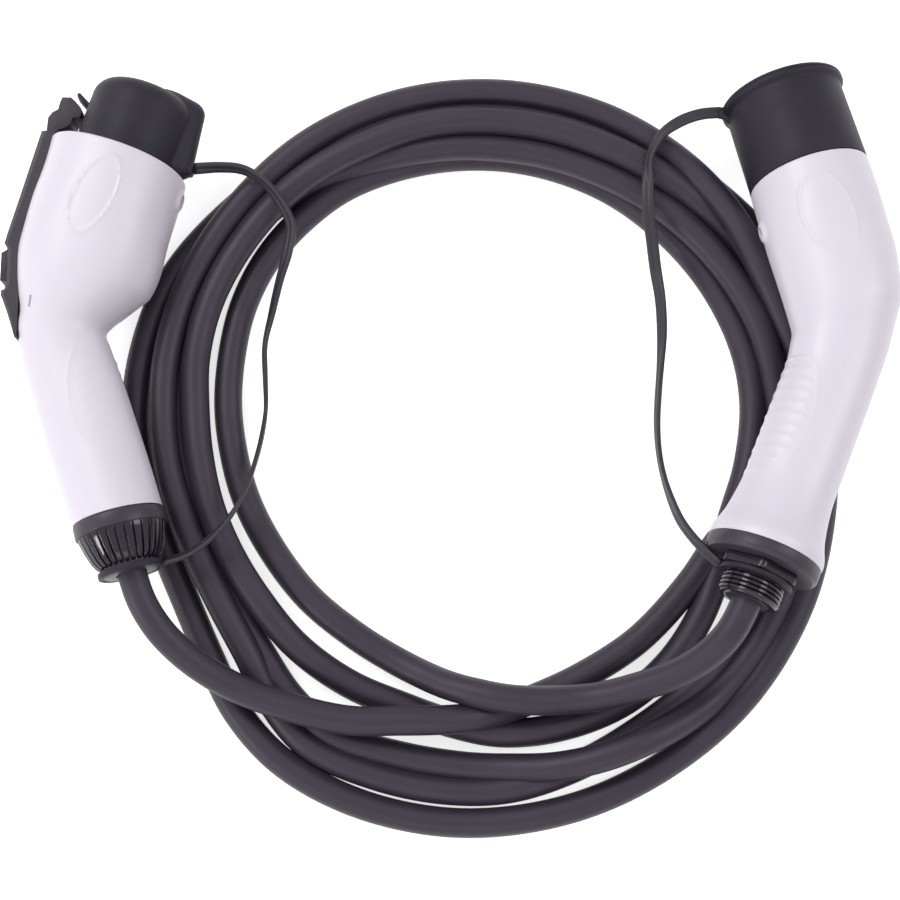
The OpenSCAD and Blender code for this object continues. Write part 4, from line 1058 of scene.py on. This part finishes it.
def crest(height):
    """A single-start thread's radius at a height, fading out at both ends."""
    below = THREAD_LEN - height
    fade = step_up(height, 0.3, 1.4) * step_up(below, 0.6, 1.6)

    def radius(angle):
        phase = (height / THREAD_PITCH - angle / (2 * pi)) % 1
        tooth = min(1, max(0, TOOTH_TOP - TOOTH_SLOPE * abs(phase - 0.5)))
        return THREAD_R - THREAD_DEEP * (1 - tooth * fade)
    return radius


turned_piece(
    "gland", "type2_gland_body",
    [(SEAL_POCKET_R, THREAD_END), (THREAD_R - 1.8, THREAD_END),
     (THREAD_R - 1.35, THREAD_END + 0.1),
     *[(crest(y), THREAD_END + y) for y in spread(0.3, THREAD_LEN - 0.3, THREAD_ROWS)],
     (THREAD_R - THREAD_DEEP, HEX_FOOT), (hexagon(1), HEX_FOOT),
     (hexagon(0.4), HEX_FOOT + 0.12), (hexagon(0), HEX_FOOT + 0.6),
     (hexagon(0), -COLLAR_LEN - 0.45), (hexagon(0.4), -COLLAR_LEN - 0.02),
     (GLAND_NECK_R, -COLLAR_LEN - 0.02), (GLAND_NECK_R, SLEEVE_IN), (CABLE_WAY_R, SLEEVE_IN),
     (CABLE_WAY_R, THREAD_END + POCKET_DEPTH), (SEAL_POCKET_R, THREAD_END + POCKET_DEPTH)],
    gloss_nylon, END_2)

# Tether rings: the far end of each strap is a flat ring in the caps' rubber, slipped over
# the dome nut's lip on one side and over the gland's thread on the other
for name, node, inner, outer, low, high, place in (
        ("ring_1", "type1_tether_ring", LIP_R, LIP_R + RING_1_WALL, -NUT_LEN,
         -NUT_LEN + RING_1_H, END_1),
        ("ring_2", "type2_tether_ring", THREAD_R, THREAD_R + RING_2_WALL, HEX_FOOT - RING_2_H,
         HEX_FOOT, END_2)):
    edge = [(outer - 0.6, 0), (outer - 0.15, 0.2), (outer, 0.7)]
    turned_piece(name, node,
                 [(inner, low), *[(r, low + y) for r, y in edge],
                  *[(r, high - y) for r, y in reversed(edge)], (inner, high)],
                 cap_rubber, place)

# Inner parts that the solid model already shapes: inserts in satin black nylon, silver
# plated contacts, blackened screws and hinge pin, a bright spring, rubber seals, and the
# cable's four cores
nickel = finish("screw_steel", (0.46, 0.45, 0.44), (0.60, 0.59, 0.57), (300, 3, 0.5),
                (0.24, 0.2, 500, 4, 0.6), Metallic=1)
blackened = finish("blackened_steel", (0.045, 0.043, 0.045), (0.085, 0.082, 0.085),
                   (400, 3, 0.5), (0.34, 0.2, 500, 4, 0.6), Metallic=1)
silver_plate = finish("silver_plate", (0.72, 0.70, 0.66), (0.86, 0.85, 0.82), (120, 4, 0.6),
                      (0.18, 0.16, 350, 4, 0.6), Metallic=1)
seal_rubber = finish("seal_rubber", (0.022, 0.021, 0.024), (0.04, 0.038, 0.042),
                     (150, 3, 0.5), (0.52, 0.2, 300, 3, 0.5), Specular_IOR_Level=0.35)
INNER_PARTS = [
    (satin_nylon, ("type1_insert", "type2_insert", "type1_gland_body")),
    (silver_plate, ("type1_power_contacts", "type1_earth_contact", "type1_signal_contacts",
                    "type2_power_pins", "type2_earth_pin", "type2_signal_pins")),
    (nickel, ("latch_spring",)),
    (blackened, ("type1_screw", "type2_screw", "latch_pin")),
    (seal_rubber, ("type1_seal", "type2_seal"))
]
for colour, core, dark, light in (
        ("brown", "live", (0.14, 0.05, 0.018), (0.19, 0.07, 0.025)),
        ("blue", "neutral", (0.018, 0.08, 0.38), (0.025, 0.10, 0.45)),
        ("green", "earth", (0.22, 0.38, 0.025), (0.28, 0.45, 0.035)),
        ("grey", "pilot", (0.26, 0.26, 0.27), (0.33, 0.33, 0.34))):
    skin = finish(f"core_{colour}_skin", dark, light, (90, 3, 0.5), (0.34, 0.14, 260, 3, 0.5))
    INNER_PARTS.append((skin, (f"type1_{core}_core", f"type2_{core}_core")))
for material, nodes in INNER_PARTS:
    for node in nodes:
        for material_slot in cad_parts[node].material_slots:
            material_slot.material = material

# Floor, backdrop and soft studio light. The floor looks white to the camera and to
# shiny surfaces, and keeps a faint shadow
FLOOR_GLOW, FLOOR_HALF, SKY_LIGHT = 0.72, 4, 0.42


def seen_share(tree):
    """1 where the camera, a mirror or glass looks, and 0 where light falls from."""
    rays = tree.nodes.new("ShaderNodeLightPath")
    camera_ray, glossy, through_glass = (Socket(tree, rays.outputs[name]) for name in (
        "Is Camera Ray", "Is Glossy Ray", "Is Transmission Ray"))
    return camera_ray + glossy + through_glass


paper, tree, shader = plain_finish("paper", Roughness=0.9, Base_Color=(0.9, 0.9, 0.91, 1))
glow = add_node(tree, "ShaderNodeEmission", {}, {"Strength": seen_share(tree) * FLOOR_GLOW})
both = add_node(tree, "ShaderNodeAddShader", {},
                {0: Socket(tree, shader.outputs[0]), 1: glow})
tree.links.new(both.socket, tree.nodes["Material Output"].inputs["Surface"])
corners = [(-FLOOR_HALF, -FLOOR_HALF, 0), (FLOOR_HALF, -FLOOR_HALF, 0),
           (FLOOR_HALF, FLOOR_HALF, 0), (-FLOOR_HALF, FLOOR_HALF, 0)]
floor = add_piece("floor", corners, [(0, 1, 2, 3)], paper)

world = bpy.data.worlds.new("studio")
world.use_nodes = True
sky = world.node_tree
backdrop = sky.nodes["Background"]
backdrop.inputs["Color"].default_value = (0.97, 0.975, 1, 1)
strength = seen_share(sky) * (1 - SKY_LIGHT) + SKY_LIGHT
sky.links.new(strength.socket, backdrop.inputs["Strength"])
bpy.context.scene.world = world

# Softboxes: (name, place, aim, size, power in watts)
for name, place, aim, size, power in (
        ("main_softbox", (-0.95, 0.75, 1.5), (0, 0, 0), (1, 0.7), 12.4),
        ("side_softbox", (1.2, 0.2, 1.2), (0, 0, 0), (0.5, 0.9), 6),
        ("left_softbox", (-2.3, 0, 0.9), (0, 0, 0), (1.2, 1.2), 4),
        ("front_softbox", (0, -1.3, 1), (0, 0, 0), (1.4, 0.4), 3),
        ("low_softbox", (-1.38, -0.94, 0.75), (-0.14, -0.08, 0.03), (0.36, 0.3), 6)):
    lamp = bpy.data.lights.new(name, "AREA")
    lamp.shape = "RECTANGLE"
    lamp.size, lamp.size_y = size
    lamp.energy = power
    box = bpy.data.objects.new(name, lamp)
    bpy.context.scene.collection.objects.link(box)
    box.location = place
    box.rotation_euler = (Vector(aim) - Vector(place)).to_track_quat("-Z", "Y").to_euler()
